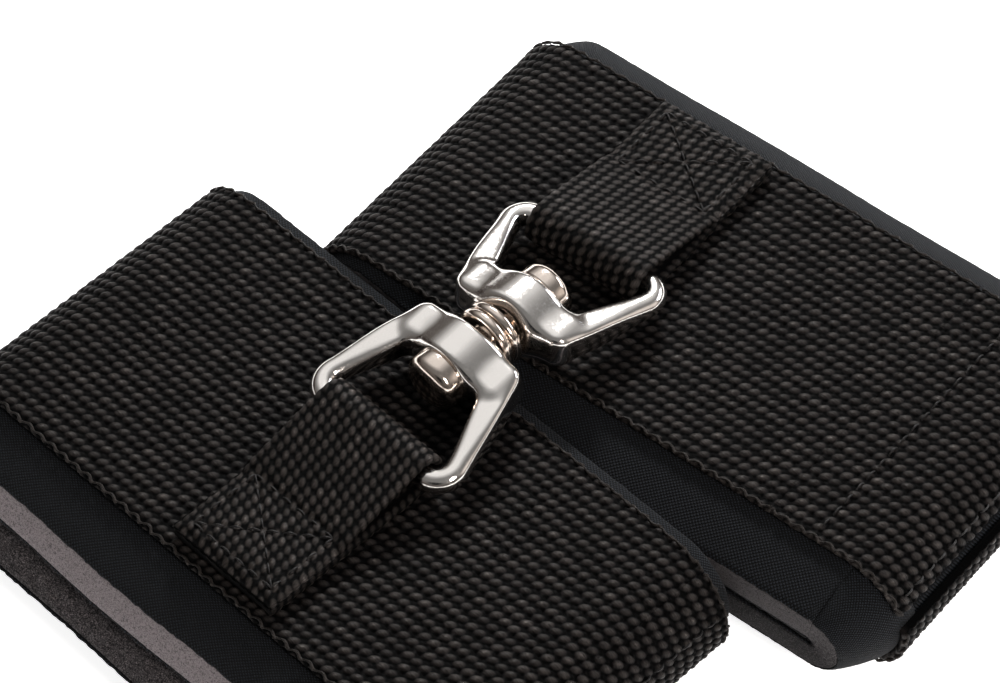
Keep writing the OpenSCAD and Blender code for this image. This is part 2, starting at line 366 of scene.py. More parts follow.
def lay_of(tree: bpy.types.NodeTree) -> tuple[bpy.types.NodeSocket, bpy.types.Node]:
    """Reads the surface coordinates.

    Args:
        tree: Node tree.

    Returns:
        The vector in mm, and the node with its parts.
    """
    lay = add(tree, "ShaderNodeAttribute", {}, attribute_name=LAY).outputs["Vector"]
    return lay, add(tree, "ShaderNodeSeparateXYZ", {0: lay})


@dataclass(frozen=True)
class WovenPolyester(Finish):
    """Black polyester webbing, woven from textured filament yarn.

    Beads of yarn have soft grey painted highlights on their crowns, and the ground between them is painted
    near black as shade.
    """

    # ground is painted shade between the beads; light and crown are painted highlights on their tops
    ground: str = "#010101"
    body: str = "#171413"
    light: str = "#2b2826"
    crown: str = "#5b5552"
    fibre_mm: float = 0.17  # real filaments are finer than shows, so bundles of them are drawn
    fibre_run_mm: float = 1.1

    def build(self) -> bpy.types.Material:
        """Makes the material: relief sets painted shade in the ground, painted highlights on the crowns and
        gloss, and streaks along the yarn break it up.

        Returns:
            The material.
        """
        material, tree, shader = self.shader(Specular_IOR_Level=0.07)
        lay, parts = lay_of(tree)
        streak_at = add(tree, "ShaderNodeMapping", {
            0: lay, "Scale": (1 / self.fibre_run_mm, 1 / self.fibre_mm, 0)})
        streak = add(tree, "ShaderNodeTexNoise", {"Vector": streak_at.outputs[0], "Scale": 1.0,
                                                  "Detail": 3.0})
        # painted shade: low relief goes near black; painted highlight: high relief goes light
        shade = ramp(tree, parts.outputs[2], [(0.0, self.ground), (0.5, self.ground), (0.66, self.body),
                                              (0.88, self.light), (0.98, self.crown)])
        tone = add(tree, "ShaderNodeAttribute", {}, attribute_name=TONE)
        gain = add(tree, "ShaderNodeMath", {0: tone.outputs["Fac"], 1: 0.5, 2: 0.75},
                   operation="MULTIPLY_ADD")
        # streaks scale the colour from 0.35 to 1.9: fibre shade, and their brightest spots are painted
        # glints
        streaks = add(tree, "ShaderNodeMapRange", {0: streak.outputs[0], 1: 0.32, 2: 0.7, 3: 0.35, 4: 1.9})
        total = add(tree, "ShaderNodeMath", {0: gain.outputs[0], 1: streaks.outputs[0]},
                    operation="MULTIPLY")
        colour = add(tree, "ShaderNodeVectorMath", {0: shade, 3: total.outputs[0]}, operation="SCALE")
        tree.links.new(colour.outputs[0], shader.inputs["Base Color"])
        gloss = add(tree, "ShaderNodeMapRange", {0: parts.outputs[2], 1: 0.45, 2: 0.95, 3: 0.85, 4: 0.22})
        tree.links.new(gloss.outputs[0], shader.inputs["Roughness"])
        bump = add(tree, "ShaderNodeBump", {"Strength": 0.9, "Distance": 0.14 * MM,
                                            "Height": streak.outputs[0]})
        tree.links.new(bump.outputs[0], shader.inputs["Normal"])
        return material


@dataclass(frozen=True)
class KnitNylon(Finish):
    """Fine black nylon jersey, bonded to foam.

    Rows of tiny loops give a dull blue-black surface, with faint light dots painted on the loop tops as
    painted highlights.
    """

    body: str = "#060708"
    loop_highlight: str = "#262a30"
    wale_mm: float = 0.78  # real wales are about 0.5 mm, drawn wider so that they show
    course_mm: float = 0.62

    def build(self) -> bpy.types.Material:
        """Makes the material: loop height is the product of two sine waves, wales and courses, and high
        loops get the painted highlight colour.

        Returns:
            The material.
        """
        material, tree, shader = self.shader(Roughness=0.85, Specular_IOR_Level=0.12,
                                             Sheen_Weight=0.03, Sheen_Roughness=0.5)
        lay, parts = lay_of(tree)
        waves = []
        for output, pitch in ((0, self.wale_mm), (1, self.course_mm)):
            turn = add(tree, "ShaderNodeMath", {0: parts.outputs[output], 1: 2 * math.pi / pitch},
                       operation="MULTIPLY")
            waves.append(add(tree, "ShaderNodeMath", {0: turn.outputs[0]}, operation="SINE").outputs[0])
        loop = add(tree, "ShaderNodeMath", {0: waves[0], 1: waves[1]}, operation="MULTIPLY")
        fuzz = add(tree, "ShaderNodeTexNoise", {"Vector": lay, "Scale": 1 / 0.35, "Detail": 2.0})
        height = add(tree, "ShaderNodeMath", {0: fuzz.outputs[0], 1: 0.8, 2: loop.outputs[0]},
                     operation="MULTIPLY_ADD")
        level = add(tree, "ShaderNodeMapRange", {0: height.outputs[0], 1: 0.4, 2: 1.4, 3: 0.0, 4: 1.0})
        # painted highlight: the tops of the loops go towards the lighter dot colour
        shade = ramp(tree, level.outputs[0], [(0.0, self.body), (1.0, self.loop_highlight)])
        tree.links.new(shade, shader.inputs["Base Color"])
        bump = add(tree, "ShaderNodeBump", {"Strength": 0.7, "Distance": 0.12 * MM,
                                            "Height": height.outputs[0]})
        tree.links.new(bump.outputs[0], shader.inputs["Normal"])
        return material


@dataclass(frozen=True)
class CutFoam(Finish):
    """Closed-cell rubber foam, cut raw.

    Torn cells make a speckled grey-brown edge, and parts that face up are painted lighter, as painted light
    from above.
    """

    dark: str = "#161516"
    body: str = "#4b4748"
    light: str = "#8d8587"
    cell_mm: float = 0.4
    speck_mm: float = 0.2

    def build(self) -> bpy.types.Material:
        """Makes the material: torn cells scatter specks, and what faces up is painted lighter, as painted
        light.

        Returns:
            The material.
        """
        material, tree, shader = self.shader(Roughness=0.9, Specular_IOR_Level=0.2)
        place = add(tree, "ShaderNodeTexCoord", {}).outputs["Object"]
        cells = add(tree, "ShaderNodeTexVoronoi", {"Vector": place, "Scale": 1 / (self.cell_mm * MM)})
        speck = add(tree, "ShaderNodeTexNoise", {"Vector": place, "Scale": 1 / (self.speck_mm * MM),
                                                 "Detail": 3.0})
        # painted light: the tone attribute holds how far the foam faces up, and raises its shade
        up = add(tree, "ShaderNodeAttribute", {}, attribute_name=TONE).outputs["Fac"]
        level = add(tree, "ShaderNodeMath", {0: cells.outputs["Distance"], 1: -0.28,
                                             2: speck.outputs[0]}, operation="MULTIPLY_ADD")
        raised = add(tree, "ShaderNodeMath", {0: up, 1: 0.3, 2: level.outputs[0]},
                     operation="MULTIPLY_ADD")
        shade = ramp(tree, raised.outputs[0], [(0.22, self.dark), (0.42, self.body), (0.72, self.light)])
        tree.links.new(shade, shader.inputs["Base Color"])
        bump = add(tree, "ShaderNodeBump", {"Strength": 0.9, "Distance": 0.25 * MM,
                                            "Height": level.outputs[0]})
        tree.links.new(bump.outputs[0], shader.inputs["Normal"])
        return material


@dataclass(frozen=True)
class Yarn(Finish):
    """Black nylon in loose or twisted form: loop pile, moulded hooks or sewing thread.

    It is dull, with a little sheen from single filaments.
    """

    body: str = "#131213"
    light: str = "#343133"
    grain_mm: float = 0.3
    roughness: float = 0.75

    def build(self) -> bpy.types.Material:
        """Makes the material: noise at the size of the yarn shifts its shade and bump.

        Returns:
            The material.
        """
        material, tree, shader = self.shader(Roughness=self.roughness, Specular_IOR_Level=0.25,
                                             Sheen_Weight=0.05, Sheen_Roughness=0.4)
        place = add(tree, "ShaderNodeTexCoord", {}).outputs["Object"]
        noise = add(tree, "ShaderNodeTexNoise", {"Vector": place, "Scale": 1 / (self.grain_mm * MM),
                                                 "Detail": 3.0})
        shade = ramp(tree, noise.outputs[0], [(0.35, self.body), (0.7, self.light)])
        tree.links.new(shade, shader.inputs["Base Color"])
        bump = add(tree, "ShaderNodeBump", {"Strength": 0.6, "Distance": 0.12 * MM,
                                            "Height": noise.outputs[0]})
        tree.links.new(bump.outputs[0], shader.inputs["Normal"])
        return material


@dataclass(frozen=True)
class PlatedNickel(Finish):
    """Zinc die casting, polished and nickel plated.

    It mirrors what is round it, with a warm cast, slow waves from hand polishing and faint haze.
    """

    body: str = "#e9e4df"
    haze: float = 0.09
    wave_mm: float = 5.0
    pit_mm: float = 0.35

    def build(self) -> bpy.types.Material:
        """Makes the material: slow and fine noise bend the mirror, and the fine one clouds it too.

        Returns:
            The material.
        """
        material, tree, shader = self.shader(Metallic=1.0, Base_Color=linear(self.body))
        place = add(tree, "ShaderNodeTexCoord", {}).outputs["Object"]
        wave = add(tree, "ShaderNodeTexNoise", {"Vector": place, "Scale": 1 / (self.wave_mm * MM),
                                                "Detail": 1.0})
        pits = add(tree, "ShaderNodeTexNoise", {"Vector": place, "Scale": 1 / (self.pit_mm * MM),
                                                "Detail": 4.0})
        cloud = add(tree, "ShaderNodeMapRange", {0: pits.outputs[0], 1: 0.45, 2: 0.8, 3: self.haze,
                                                 4: self.haze + 0.2})
        tree.links.new(cloud.outputs[0], shader.inputs["Roughness"])
        slow = add(tree, "ShaderNodeBump", {"Strength": 0.14, "Distance": 0.3 * MM,
                                            "Height": wave.outputs[0]})
        fine = add(tree, "ShaderNodeBump", {"Strength": 0.06, "Distance": 0.05 * MM,
                                            "Height": pits.outputs[0], "Normal": slow.outputs[0]})
        tree.links.new(fine.outputs[0], shader.inputs["Normal"])
        return material


WEBBING = WovenPolyester("woven_polyester_webbing")
# the keeper's light and crown are painted highlights too
KEEPER_WEBBING = WovenPolyester("woven_polyester_keeper", body="#1d1a18", light="#302c2a",
                                crown="#6c6662", fibre_mm=0.15)
FACING = KnitNylon("knit_nylon_facing")
LINING = KnitNylon("knit_nylon_lining", body="#080809")
FOAM_A = CutFoam("cut_rubber_foam_a")
# painted shade: a darker copy of the same foam, for cuff B's pad in the shade of cuff A and the swivel
FOAM_B_SHADED = CutFoam("cut_rubber_foam_b", dark="#0c0c0c", body="#262425", light="#4f4c4d")
PILE = Yarn("nylon_loop_pile", body="#080809", light="#2b292c")
HOOKS = Yarn("moulded_nylon_hooks", body="#121213", light="#222124", roughness=0.45)
THREAD = Yarn("bonded_nylon_thread", body="#0a0909", light="#211e1d", grain_mm=0.2, roughness=0.5)
EYE_PLATE = PlatedNickel("nickel_plated_eye")
RIVET_PLATE = PlatedNickel("nickel_plated_rivet", body="#dccfc4", haze=0.08)
WASHER_PLATE = PlatedNickel("nickel_plated_washer", body="#d2c5ba", haze=0.1)


class Wardrobe:
    """Makes each finish once and puts it on pieces."""

    def __init__(self) -> None:
        """Starts with no material made."""
        self.made: dict[str, bpy.types.Material] = {}

    def dress(self, piece: bpy.types.Object, finish: Finish) -> None:
        """Puts a finish on a piece, in place of any it has.

        Args:
            piece: Object to dress.
            finish: Its finish.
        """
        if finish.name not in self.made:
            self.made[finish.name] = finish.build()
        piece.data.materials.clear()
        piece.data.materials.append(self.made[finish.name])


# ---------------------------------------------------------------- a cuff


@dataclass
class Cuff:
    """One cuff: webbing, pad, tapes, keeper and stitches, in its own frame.

    The local frame has the crossbar's axis over x = 0, y = 0. facing is +1 where the other cuff lies
    towards local +Y, else -1.
    """

    side: Side
    origin: tuple[float, float]  # row x and y of the crossbar, mm
    yaw: float  # radians
    facing: int
    dx: float  # keeper centre to the oval's centre
    rim_out: float
    rim_in: float
    foam: CutFoam
    edge_limit: Optional[float] = None  # row y that the pad stops short of
    band_w: float = 60.0
    bar_inset: float = 22.5
    straight: float = 103.0
    lining_r: float = 5.5
    foam_r: float = 6.0
    facing_r: float = 11.0
    under_r: float = 11.5
    outer_r: float = 13.5
    hook_r: float = 10.3
    loop_r: float = 9.1
    tape_w: float = 50.0
    fold_run: float = 60.0
    flap_run: float = 86.0
    tape_show: float = 4.5
    bead_h: float = 1.0  # relief of the webbing's beads
    lower_pitch: tuple[float, float] = (0.42, 0.3)  # grid steps of the webbing, along and across
    upper_pitch: tuple[float, float] = (0.33, 0.28)
    flap_pitch: tuple[float, float] = (0.31, 0.27)
    under_count: int = 12  # points across an under face that lies on the pad
    flap_under: int = 150  # points across the flap's under face, which shows when it opens
    under_relief: float = 0.3
    weft_turn: float = 3.03  # mm between turns of the weft at an edge
    edge_round: float = 1.1
    edge_drop: float = 0.85
    bend_back: float = 4.5  # how far before the fold line the flap's bend starts
    butt_gap: float = 0.04
    rim_dip: float = 5.05  # how far a full rim turns in towards the other layer
    rim_full: float = 10.0
    spread: float = 3.6  # how much further the lower layer's rim lies out
    keeper_w: float = 24.0
    keeper_t: float = 1.8
    sewn_l: float = 17.0
    free_l: float = 18.5
    end_press: float = 0.8  # how far the keeper's sewn end is pressed down at its edges
    seam_inset: float = 2.5
    seam_depth: float = 0.24
    stitch_l: float = 2.2
    stitch_pitch: float = 3.0
    thread_r: float = 0.16
    bar_z: float = 31.35
    loop_mid: float = 3.45  # radius of the keeper's middle round the crossbar
    weave: Weave = field(default_factory=Weave)
    keeper_weave: Weave = field(default_factory=lambda: Weave(scale=0.86))

    def __post_init__(self) -> None:
        """Works out the runs and widths that follow from the sizes."""
        self.half_lap = self.straight + math.pi * self.outer_r
        self.lap = 2 * self.half_lap
        self.fold_s = self.fold_run - self.dx
        self.flap_s = self.flap_run - self.dx
        self.start_s = self.flap_s + self.tape_show
        self.butt_s = (self.fold_s + self.flap_s) / 2
        wide, narrow = self.band_w - self.bar_inset, self.bar_inset
        self.band_v = self.span(wide, narrow)
        self.tape_v = (self.band_v[0] + (self.band_w - self.tape_w) / 2,
                       self.band_v[1] - (self.band_w - self.tape_w) / 2)
        self.pad_v = self.span(wide + self.rim_out, narrow + self.rim_in)

    def span(self, outside: float, inside: float) -> tuple[float, float]:
        """Local y of the two edges that lie outside and inside of the crossbar."""
        return (-outside, inside) if self.facing > 0 else (-inside, outside)

    def name(self, part: str) -> str:
        """Piece name with the cuff's letter."""
        return f"{part}_{self.side.value}"

    def to_row(self, x: Array, y: Array, z: Array) -> Array:
        """Turns local points by the cuff's yaw and moves them to its place in the row frame.

        Args:
            x: Local x, mm.
            y: Local y, mm.
            z: Height, mm.

        Returns:
            Points with a last axis of 3.
        """
        c, s = math.cos(self.yaw), math.sin(self.yaw)
        return np.stack(np.broadcast_arrays(self.origin[0] + c * x - s * y,
                                            self.origin[1] + s * x + c * y, z), -1)

    def normal(self, s: Array) -> tuple[Array, Array, Array]:
        """Place on the oval's middle line and the outward direction at run s.

        The straights are level, and each bend is a half circle whose angle is run over radius.

        Args:
            s: Run round the oval, mm.

        Returns:
            x of the middle line, and the x and z of the outward direction.
        """
        k = np.floor((s + self.straight / 2) / self.half_lap)
        along = s - k * self.half_lap
        turn = np.maximum(along - self.straight / 2, 0) / self.outer_r
        sign = 1 - 2 * np.mod(k, 2)
        return sign * np.minimum(along, self.straight / 2), sign * np.sin(turn), sign * np.cos(turn)

    def on_oval(self, s: Array, v: Array, r: Array) -> Array:
        """Row-frame points at run s, place across v and radius r."""
        x, nx, nz = self.normal(s)
        return self.to_row(self.dx + x + r * nx, v, self.outer_r + r * nz)

    def webbing(self, part: str, s0: float, s1: float, pitch: tuple[float, float], under: int
                ) -> bpy.types.Object:
        """A length of the main webbing with woven relief.

        The outer face's radius is the ground plus the beads' height, both edges round off over 1.1 mm
        and bulge at each turn of the weft. Only an under face with many points carries relief.

        Args:
            part: Piece name without the cuff's letter.
            s0: Run at its start, mm.
            s1: Run at its end, mm.
            pitch: Grid step along and across, mm.
            under: Number of points across the under face.

        Returns:
            The piece.
        """
        lo, hi = self.band_v
        s = np.linspace(s0, s1, int((s1 - s0) / pitch[0]) + 1)[:, None]
        v = np.linspace(lo, hi, int((hi - lo) / pitch[1]) + 1)[None, :]
        s_top, v_top = np.broadcast_arrays(s, v)
        height, tone = self.weave.relief(s_top, v_top)
        edge = np.minimum(v_top - lo, hi - v_top)
        bend = np.maximum(1 - edge / self.edge_round, 0)
        drop = self.edge_drop * (1 - np.sqrt(np.maximum(1 - bend ** 2, 0)))
        r_top = self.outer_r - self.bead_h + self.bead_h * height - drop
        turn = 0.28 * np.abs(np.sin(math.pi * s / self.weft_turn)) + 0.1 * grain(s / 1.3, s * 0)
        pull = np.where(v_top < (lo + hi) / 2, -1, 1) * (1 - step(edge, 0, 1.2)) * turn
        v_low = np.linspace(hi - 0.35, lo + 0.35, under)[None, :]
        s_low, v_low = np.broadcast_arrays(s, v_low)
        low, low_tone = self.weave.relief(s_low + 1.0, v_low)
        fine = self.under_relief if under > self.under_count else 0.0
        r_low = self.under_r + 0.05 + fine * (1 - low)
        s_all = np.concatenate([s_top, s_low], 1)
        v_all = np.concatenate([v_top + pull, v_low], 1)
        r_all = np.concatenate([r_top, r_low], 1)
        relief = np.concatenate([height, low * 0.8], 1)
        lay = np.stack([s_all, v_all, relief], -1)
        sheet = tube(self.name(part), self.on_oval(s_all, v_all, r_all), lay,
                     np.concatenate([tone, low_tone], 1))
        return join(sheet, self.selvedge(part + "_edge", s0, s1))

    def selvedge(self, part: str, s0: float, s1: float) -> bpy.types.Object:
        """The edge threads of a length of webbing: a thin cord that winds along each edge.

        Its middle line swings out over the edge once for each turn of the weft.

        Args:
            part: Name while it is on its own.
            s0: Run at its start, mm.
            s1: Run at its end, mm.

        Returns:
            The piece, ready to join to its webbing.
        """
        lo, hi = self.band_v
        s = np.linspace(s0 + 0.3, s1 - 0.3, int((s1 - s0) / 0.3))[:, None]
        a = np.linspace(0, 2 * math.pi, 6, endpoint=False)[None, :]
        made = []
        for number, (edge, way) in enumerate(((lo, -1.0), (hi, 1.0))):
            phase = 2 * math.pi * s / self.weft_turn + number
            stray = 0.16 * grain(s / 1.1, s * 0 + number)
            swing = 0.2 * np.sin(phase) + 0.1 * np.sin(2 * phase + 1) + stray
            radius = 0.27 + 0.07 * np.sin(phase + 1.2)
            v = edge + way * (swing - 0.12) + radius * np.cos(a)
            r = self.outer_r - 0.45 - 0.2 * np.sin(phase) + radius * np.sin(a)
            s_all = s + 0.35 * np.cos(phase) + 0 * a
            # relief 0.84 takes the edge thread's colour from the ramp: partly the thread's own lighter grey,
            # partly painted highlight
            lay = np.stack([s_all, v, np.full(v.shape, 0.84)], -1)
            # painted highlight: the shade swings lighter once on each turn of the weft
            tone = 0.45 + 0.55 * np.sin(phase + 0.6) + 0 * a
            made.append(tube(f"{part}_{number}", self.on_oval(s_all, v, r), lay, tone))
        return join(made[0], made[1])

    def pad_edges(self, s: Array) -> tuple[Array, Array]:
        """Where the pad's two edges lie, cut back where the other cuff's pad lies.

        Args:
            s: Run, mm.

        Returns:
            Local y of the lower and of the upper edge.
        """
        lo, hi = (np.full_like(s, value) for value in self.pad_v)
        if self.edge_limit is not None:
            x = self.dx + self.normal(s)[0]
            limit = (self.edge_limit - self.origin[1] - math.sin(self.yaw) * x) / math.cos(self.yaw)
            lo = np.maximum(lo, limit)
        return lo, hi

    def pad_points(self, s: Array, v: Array, r: Array) -> Array:
        """Places pad points after the rims' turn-in, spread and the recess for the tapes.

        Beyond the webbing the radius falls by dip * (distance / full rim) ^ 1.4, the lower layer's
        outer rim lies further out, its cut slopes, and between fold and band the outer face is
        lowered under the tapes.

        Args:
            s: Run, mm.
            v: Local y, mm.
            r: Radius, mm.

        Returns:
            Row-frame points.
        """
        _, _, nz = self.normal(s)
        out_edge = self.band_v[0] if self.facing > 0 else self.band_v[1]
        outward = -1.0 if self.facing > 0 else 1.0
        beyond = np.maximum((v - out_edge) * outward, 0)
        lo, hi = self.band_v
        rim = np.maximum(np.maximum(lo - v, v - hi), 0)
        ripple = 0.45 * np.sin(s / 19.0) + 0.3 * np.sin(s / 7.3 + 1.0) + 0.12 * grain(s / 4, v * 0)
        dip = (self.rim_dip + 0.3 * ripple) * (rim / self.rim_full) ** 1.4
        share = beyond / self.rim_full
        middle = (self.facing_r + self.foam_r) / 2
        slope = -nz * (r - middle) * 0.5 * share
        layer = np.clip((r - self.foam_r) / (self.facing_r - self.foam_r), 0, 1.1)
        v = v + outward * (share * self.spread * layer * (1 - nz) / 2 + slope + 0.5 * share * ripple)
        u = np.mod(s, self.lap)
        across = step(v, self.tape_v[0] - 0.2, self.tape_v[0] + 0.1) * (
            1 - step(v, self.tape_v[1] - 0.1, self.tape_v[1] + 0.2))
        along = step(u, self.fold_s - 0.9, self.fold_s) * (1 - step(u, self.start_s, self.start_s + 0.9))
        outer = step(r, self.facing_r - 1.0, self.facing_r)
        sink = (self.under_r - self.loop_r + 0.05) * across * along * outer
        return self.on_oval(s, v, r - dip - sink)

    def pad_columns(self, s: Array, rim_count: int) -> Array:
        """Spreads a pad face's points across, close together on the rims and at the tapes' edges.

        Args:
            s: Run, mm, as a column.
            rim_count: Number of points on each rim.

        Returns:
            Local y, one row for each run.
        """
        lo, hi = self.pad_edges(s)
        tape = [self.tape_v[0] + d for d in (-0.3, 0.2)] + [self.tape_v[1] + d for d in (-0.2, 0.3)]
        inner = [self.band_v[0] + 1, *tape, self.band_v[1] - 1]
        t = np.linspace(0, 1, rim_count, endpoint=False)
        left = lo + (inner[0] - lo) * t
        right = hi + (inner[-1] - hi) * t[::-1]
        mid = np.broadcast_to(np.array(inner), (len(s), len(inner)))
        return np.concatenate([left, mid, right], 1)

    def pad_runs(self, pitch: float) -> Array:
        """Runs from one side of the pad's butt joint to the other, as a column."""
        s0, s1 = self.butt_s + self.butt_gap, self.butt_s - self.butt_gap + self.lap
        return np.linspace(s0, s1, int((s1 - s0) / pitch) + 1)[:, None]

    def skin(self, part: str, inner: float, outer: float) -> bpy.types.Object:
        """A knit skin of the pad between two radii, with low ribs across it and a frayed edge.

        Args:
            part: Piece name without the cuff's letter.
            inner: Radius of its inner face, mm.
            outer: Radius of its outer face, mm.

        Returns:
            The piece.
        """
        s = self.pad_runs(0.7)
        v = self.pad_columns(s, 14)
        fray = 0.12
        v[:, :1] += fray * grain(s / 0.9, s * 0 + 3)
        v[:, -1:] += fray * grain(s / 0.9, s * 0 + 7)
        s_full = np.broadcast_to(s, v.shape)
        rib = 0.05 * np.sin(2 * math.pi * v / 1.5) * np.cos(2 * math.pi * s_full / 2.8)
        edge = np.zeros(v.shape)
        edge[:, 0] = edge[:, -1] = fray
        s_all = np.concatenate([s_full, s_full], 1)
        v_all = np.concatenate([v, v[:, ::-1]], 1)
        r_all = np.concatenate([outer - edge + rib * (1 - edge / fray), inner + edge], 1)
        lay = np.stack([s_all, v_all, np.zeros(v_all.shape)], -1)
        return tube(self.name(part), self.pad_points(s_all, v_all, r_all), lay)

    def foam_core(self) -> bpy.types.Object:
        """The foam between the skins, with raw, granular cut edges that bulge a little.

        Returns:
            The piece.
        """
        s = self.pad_runs(0.45)
        flat = self.pad_columns(s, 3)
        steps = 12
        depth = np.linspace(0, 1, steps + 2)[1:-1][None, :]
        s_flat = np.broadcast_to(s, flat.shape)
        s_cut = np.broadcast_to(s, (len(s), steps))
        d_cut = np.broadcast_to(depth, s_cut.shape)
        lo, hi = flat[:, :1], flat[:, -1:]
        bulge = 0.45 * (1 - (2 * d_cut - 1) ** 2)
        rough = 0.2 * grain(s_cut / 0.8, d_cut * 6) + 0.12 * grain(s_cut / 0.45 + 9, d_cut * 11)
        out_hi, out_lo = (0.25, 1.0) if self.facing > 0 else (1.0, 0.25)  # little room by the other cuff
        outer, inner = self.facing_r - 0.02, self.foam_r + 0.02
        r_cut = outer + (inner - outer) * d_cut
        s_all = np.concatenate([s_flat, s_cut, s_flat, s_cut], 1)
        v_all = np.concatenate([flat, hi + out_hi * (bulge + rough), flat[:, ::-1],
                                (lo - out_lo * (bulge + rough * 0.9))[:, ::-1]], 1)
        r_all = np.concatenate([np.full(flat.shape, outer), r_cut, np.full(flat.shape, inner),
                                r_cut[:, ::-1]], 1)
        share = (r_all - inner) / (outer - inner)
        lay = np.stack([s_all, v_all, share], -1)
        # painted light: how far each point faces up, which the foam's shader turns into a lighter shade
        up = 0.5 + 0.5 * self.normal(s_all)[2]
        return tube(self.name("foam_core"), self.pad_points(s_all, v_all, r_all), lay, up)

    def loop_pile(self) -> bpy.types.Object:
        """The loop tape: a thin strip whose outer face is a mat of small tufts.

        Returns:
            The piece.
        """
        s = np.arange(self.fold_s + 0.4, self.start_s - 0.3, 0.3)[:, None]
        v = np.arange(self.tape_v[0] + 0.4, self.tape_v[1] - 0.4, 0.3)[None, :]
        s_full, v_full = np.broadcast_arrays(s, v)
        tuft = 0.5 * grain(s_full / 0.62, v_full / 0.62) + 0.35 * grain(s_full / 0.33, v_full / 0.33)
        edge = np.minimum(v_full - v.min(), v.max() - v_full)
        r = self.hook_r - 0.42 + 0.42 * np.clip(tuft, -1, 1) - 0.5 * (1 - step(edge, 0, 1.0))
        low_v = np.linspace(v.max(), v.min(), 8)[None, :]
        s_low, v_low = np.broadcast_arrays(s, low_v)
        r_low = np.full(v_low.shape, self.loop_r + 0.02)
        return tube(self.name("loop_pile"), self.on_oval(
            np.concatenate([s_full, s_low], 1), np.concatenate([v_full, v_low], 1),
            np.concatenate([r, r_low], 1)))

    def hook_sheet(self) -> bpy.types.Object:
        """The hook tape: a thin backing, and rows of small hooks that point inwards and curl over.

        A hook's middle line rises and then bends over in a half circle.

        Returns:
            The piece.
        """
        s = np.linspace(self.fold_s + 2, self.flap_s - 1, 60)[:, None]
        v = np.linspace(self.tape_v[0] + 0.4, self.tape_v[1] - 0.4, 40)[None, :]
        s_full, v_full = np.broadcast_arrays(s, v)
        r_in = np.full(s_full.shape, self.under_r - 0.45) + 0.03 * np.sin(2 * math.pi * v_full / 1.6)
        r_out = np.full(s_full.shape, self.under_r + 0.02)
        backing = tube(self.name("hook_sheet"), self.on_oval(
            np.concatenate([s_full, s_full], 1), np.concatenate([v_full, v_full[:, ::-1]], 1),
            np.concatenate([r_in, r_out], 1)))
        rows = np.arange(self.fold_s + 3, self.flap_s - 1.6, 1.5)
        places = np.arange(self.tape_v[0] + 1.2, self.tape_v[1] - 1.0, 1.25)
        row, place = (a.ravel() for a in np.meshgrid(rows, places, indexing="ij"))
        lean = np.where(np.mod(np.round(place / 1.25), 2) == 0, 1.0, -1.0)
        t = np.linspace(0, 1, 7)[None, :, None]
        q = np.linspace(0, 2 * math.pi, 5, endpoint=False)[None, None, :]
        turn = math.pi * 0.9 * np.clip((t - 0.45) / 0.55, 0, 1)
        mid_s = 0.28 * (1 - np.cos(turn)) * lean[:, None, None]
        mid_r = -0.45 * np.clip(t / 0.45, 0, 1) - 0.28 * np.sin(turn)
        thick = 0.13 - 0.03 * t
        side = thick * np.cos(q)
        rise = thick * np.sin(q)
        s_h = row[:, None, None] + mid_s + rise * np.cos(turn) * lean[:, None, None]
        r_h = self.under_r - 0.4 + mid_r + rise * np.sin(turn)
        v_h = place[:, None, None] + side + 0 * turn
        hooks = blobs(self.name("hook_rows"), self.on_oval(*np.broadcast_arrays(s_h, v_h, r_h)))
        return join(backing, hooks)

    def keeper_line(self, count: int) -> tuple[Array, Array, Array, Array, Array]:
        """Middle line of the keeper in local y and height: out along the band, round the bar, back.

        Args:
            count: Number of points, evenly spaced.

        Returns:
            Run along the strip, y, z, and the direction to the strip's outer face in y and z.
        """
        t, m = self.keeper_t, self.loop_mid
        z0, z1 = 2 * self.outer_r + t / 2, 2 * self.outer_r + 1.5 * t
        reach = math.hypot(self.free_l, self.bar_z - z1)
        base = math.atan2(z1 - self.bar_z, -self.free_l)
        touch = base - math.acos(m / reach)
        a = np.linspace(-math.pi / 2, touch % (2 * math.pi), 60)
        y = np.concatenate([[-self.free_l - self.sewn_l, -self.free_l / 2], m * np.cos(a),
                            [-self.free_l - 1.5, -self.free_l - self.sewn_l]])
        z = np.concatenate([[z0, z0], self.bar_z + m * np.sin(a), [z1, z1]])
        run = np.concatenate([[0], np.cumsum(np.hypot(np.diff(y), np.diff(z)))])
        at = np.linspace(0, run[-1], count)
        y, z = np.interp(at, run, y), np.interp(at, run, z)
        kernel = np.ones(5) / 5
        y[2:-2], z[2:-2] = np.convolve(y, kernel, "valid"), np.convolve(z, kernel, "valid")
        dy, dz = np.gradient(y, at), np.gradient(z, at)
        size = np.hypot(dy, dz)
        return at, y, z, dz / size, -dy / size

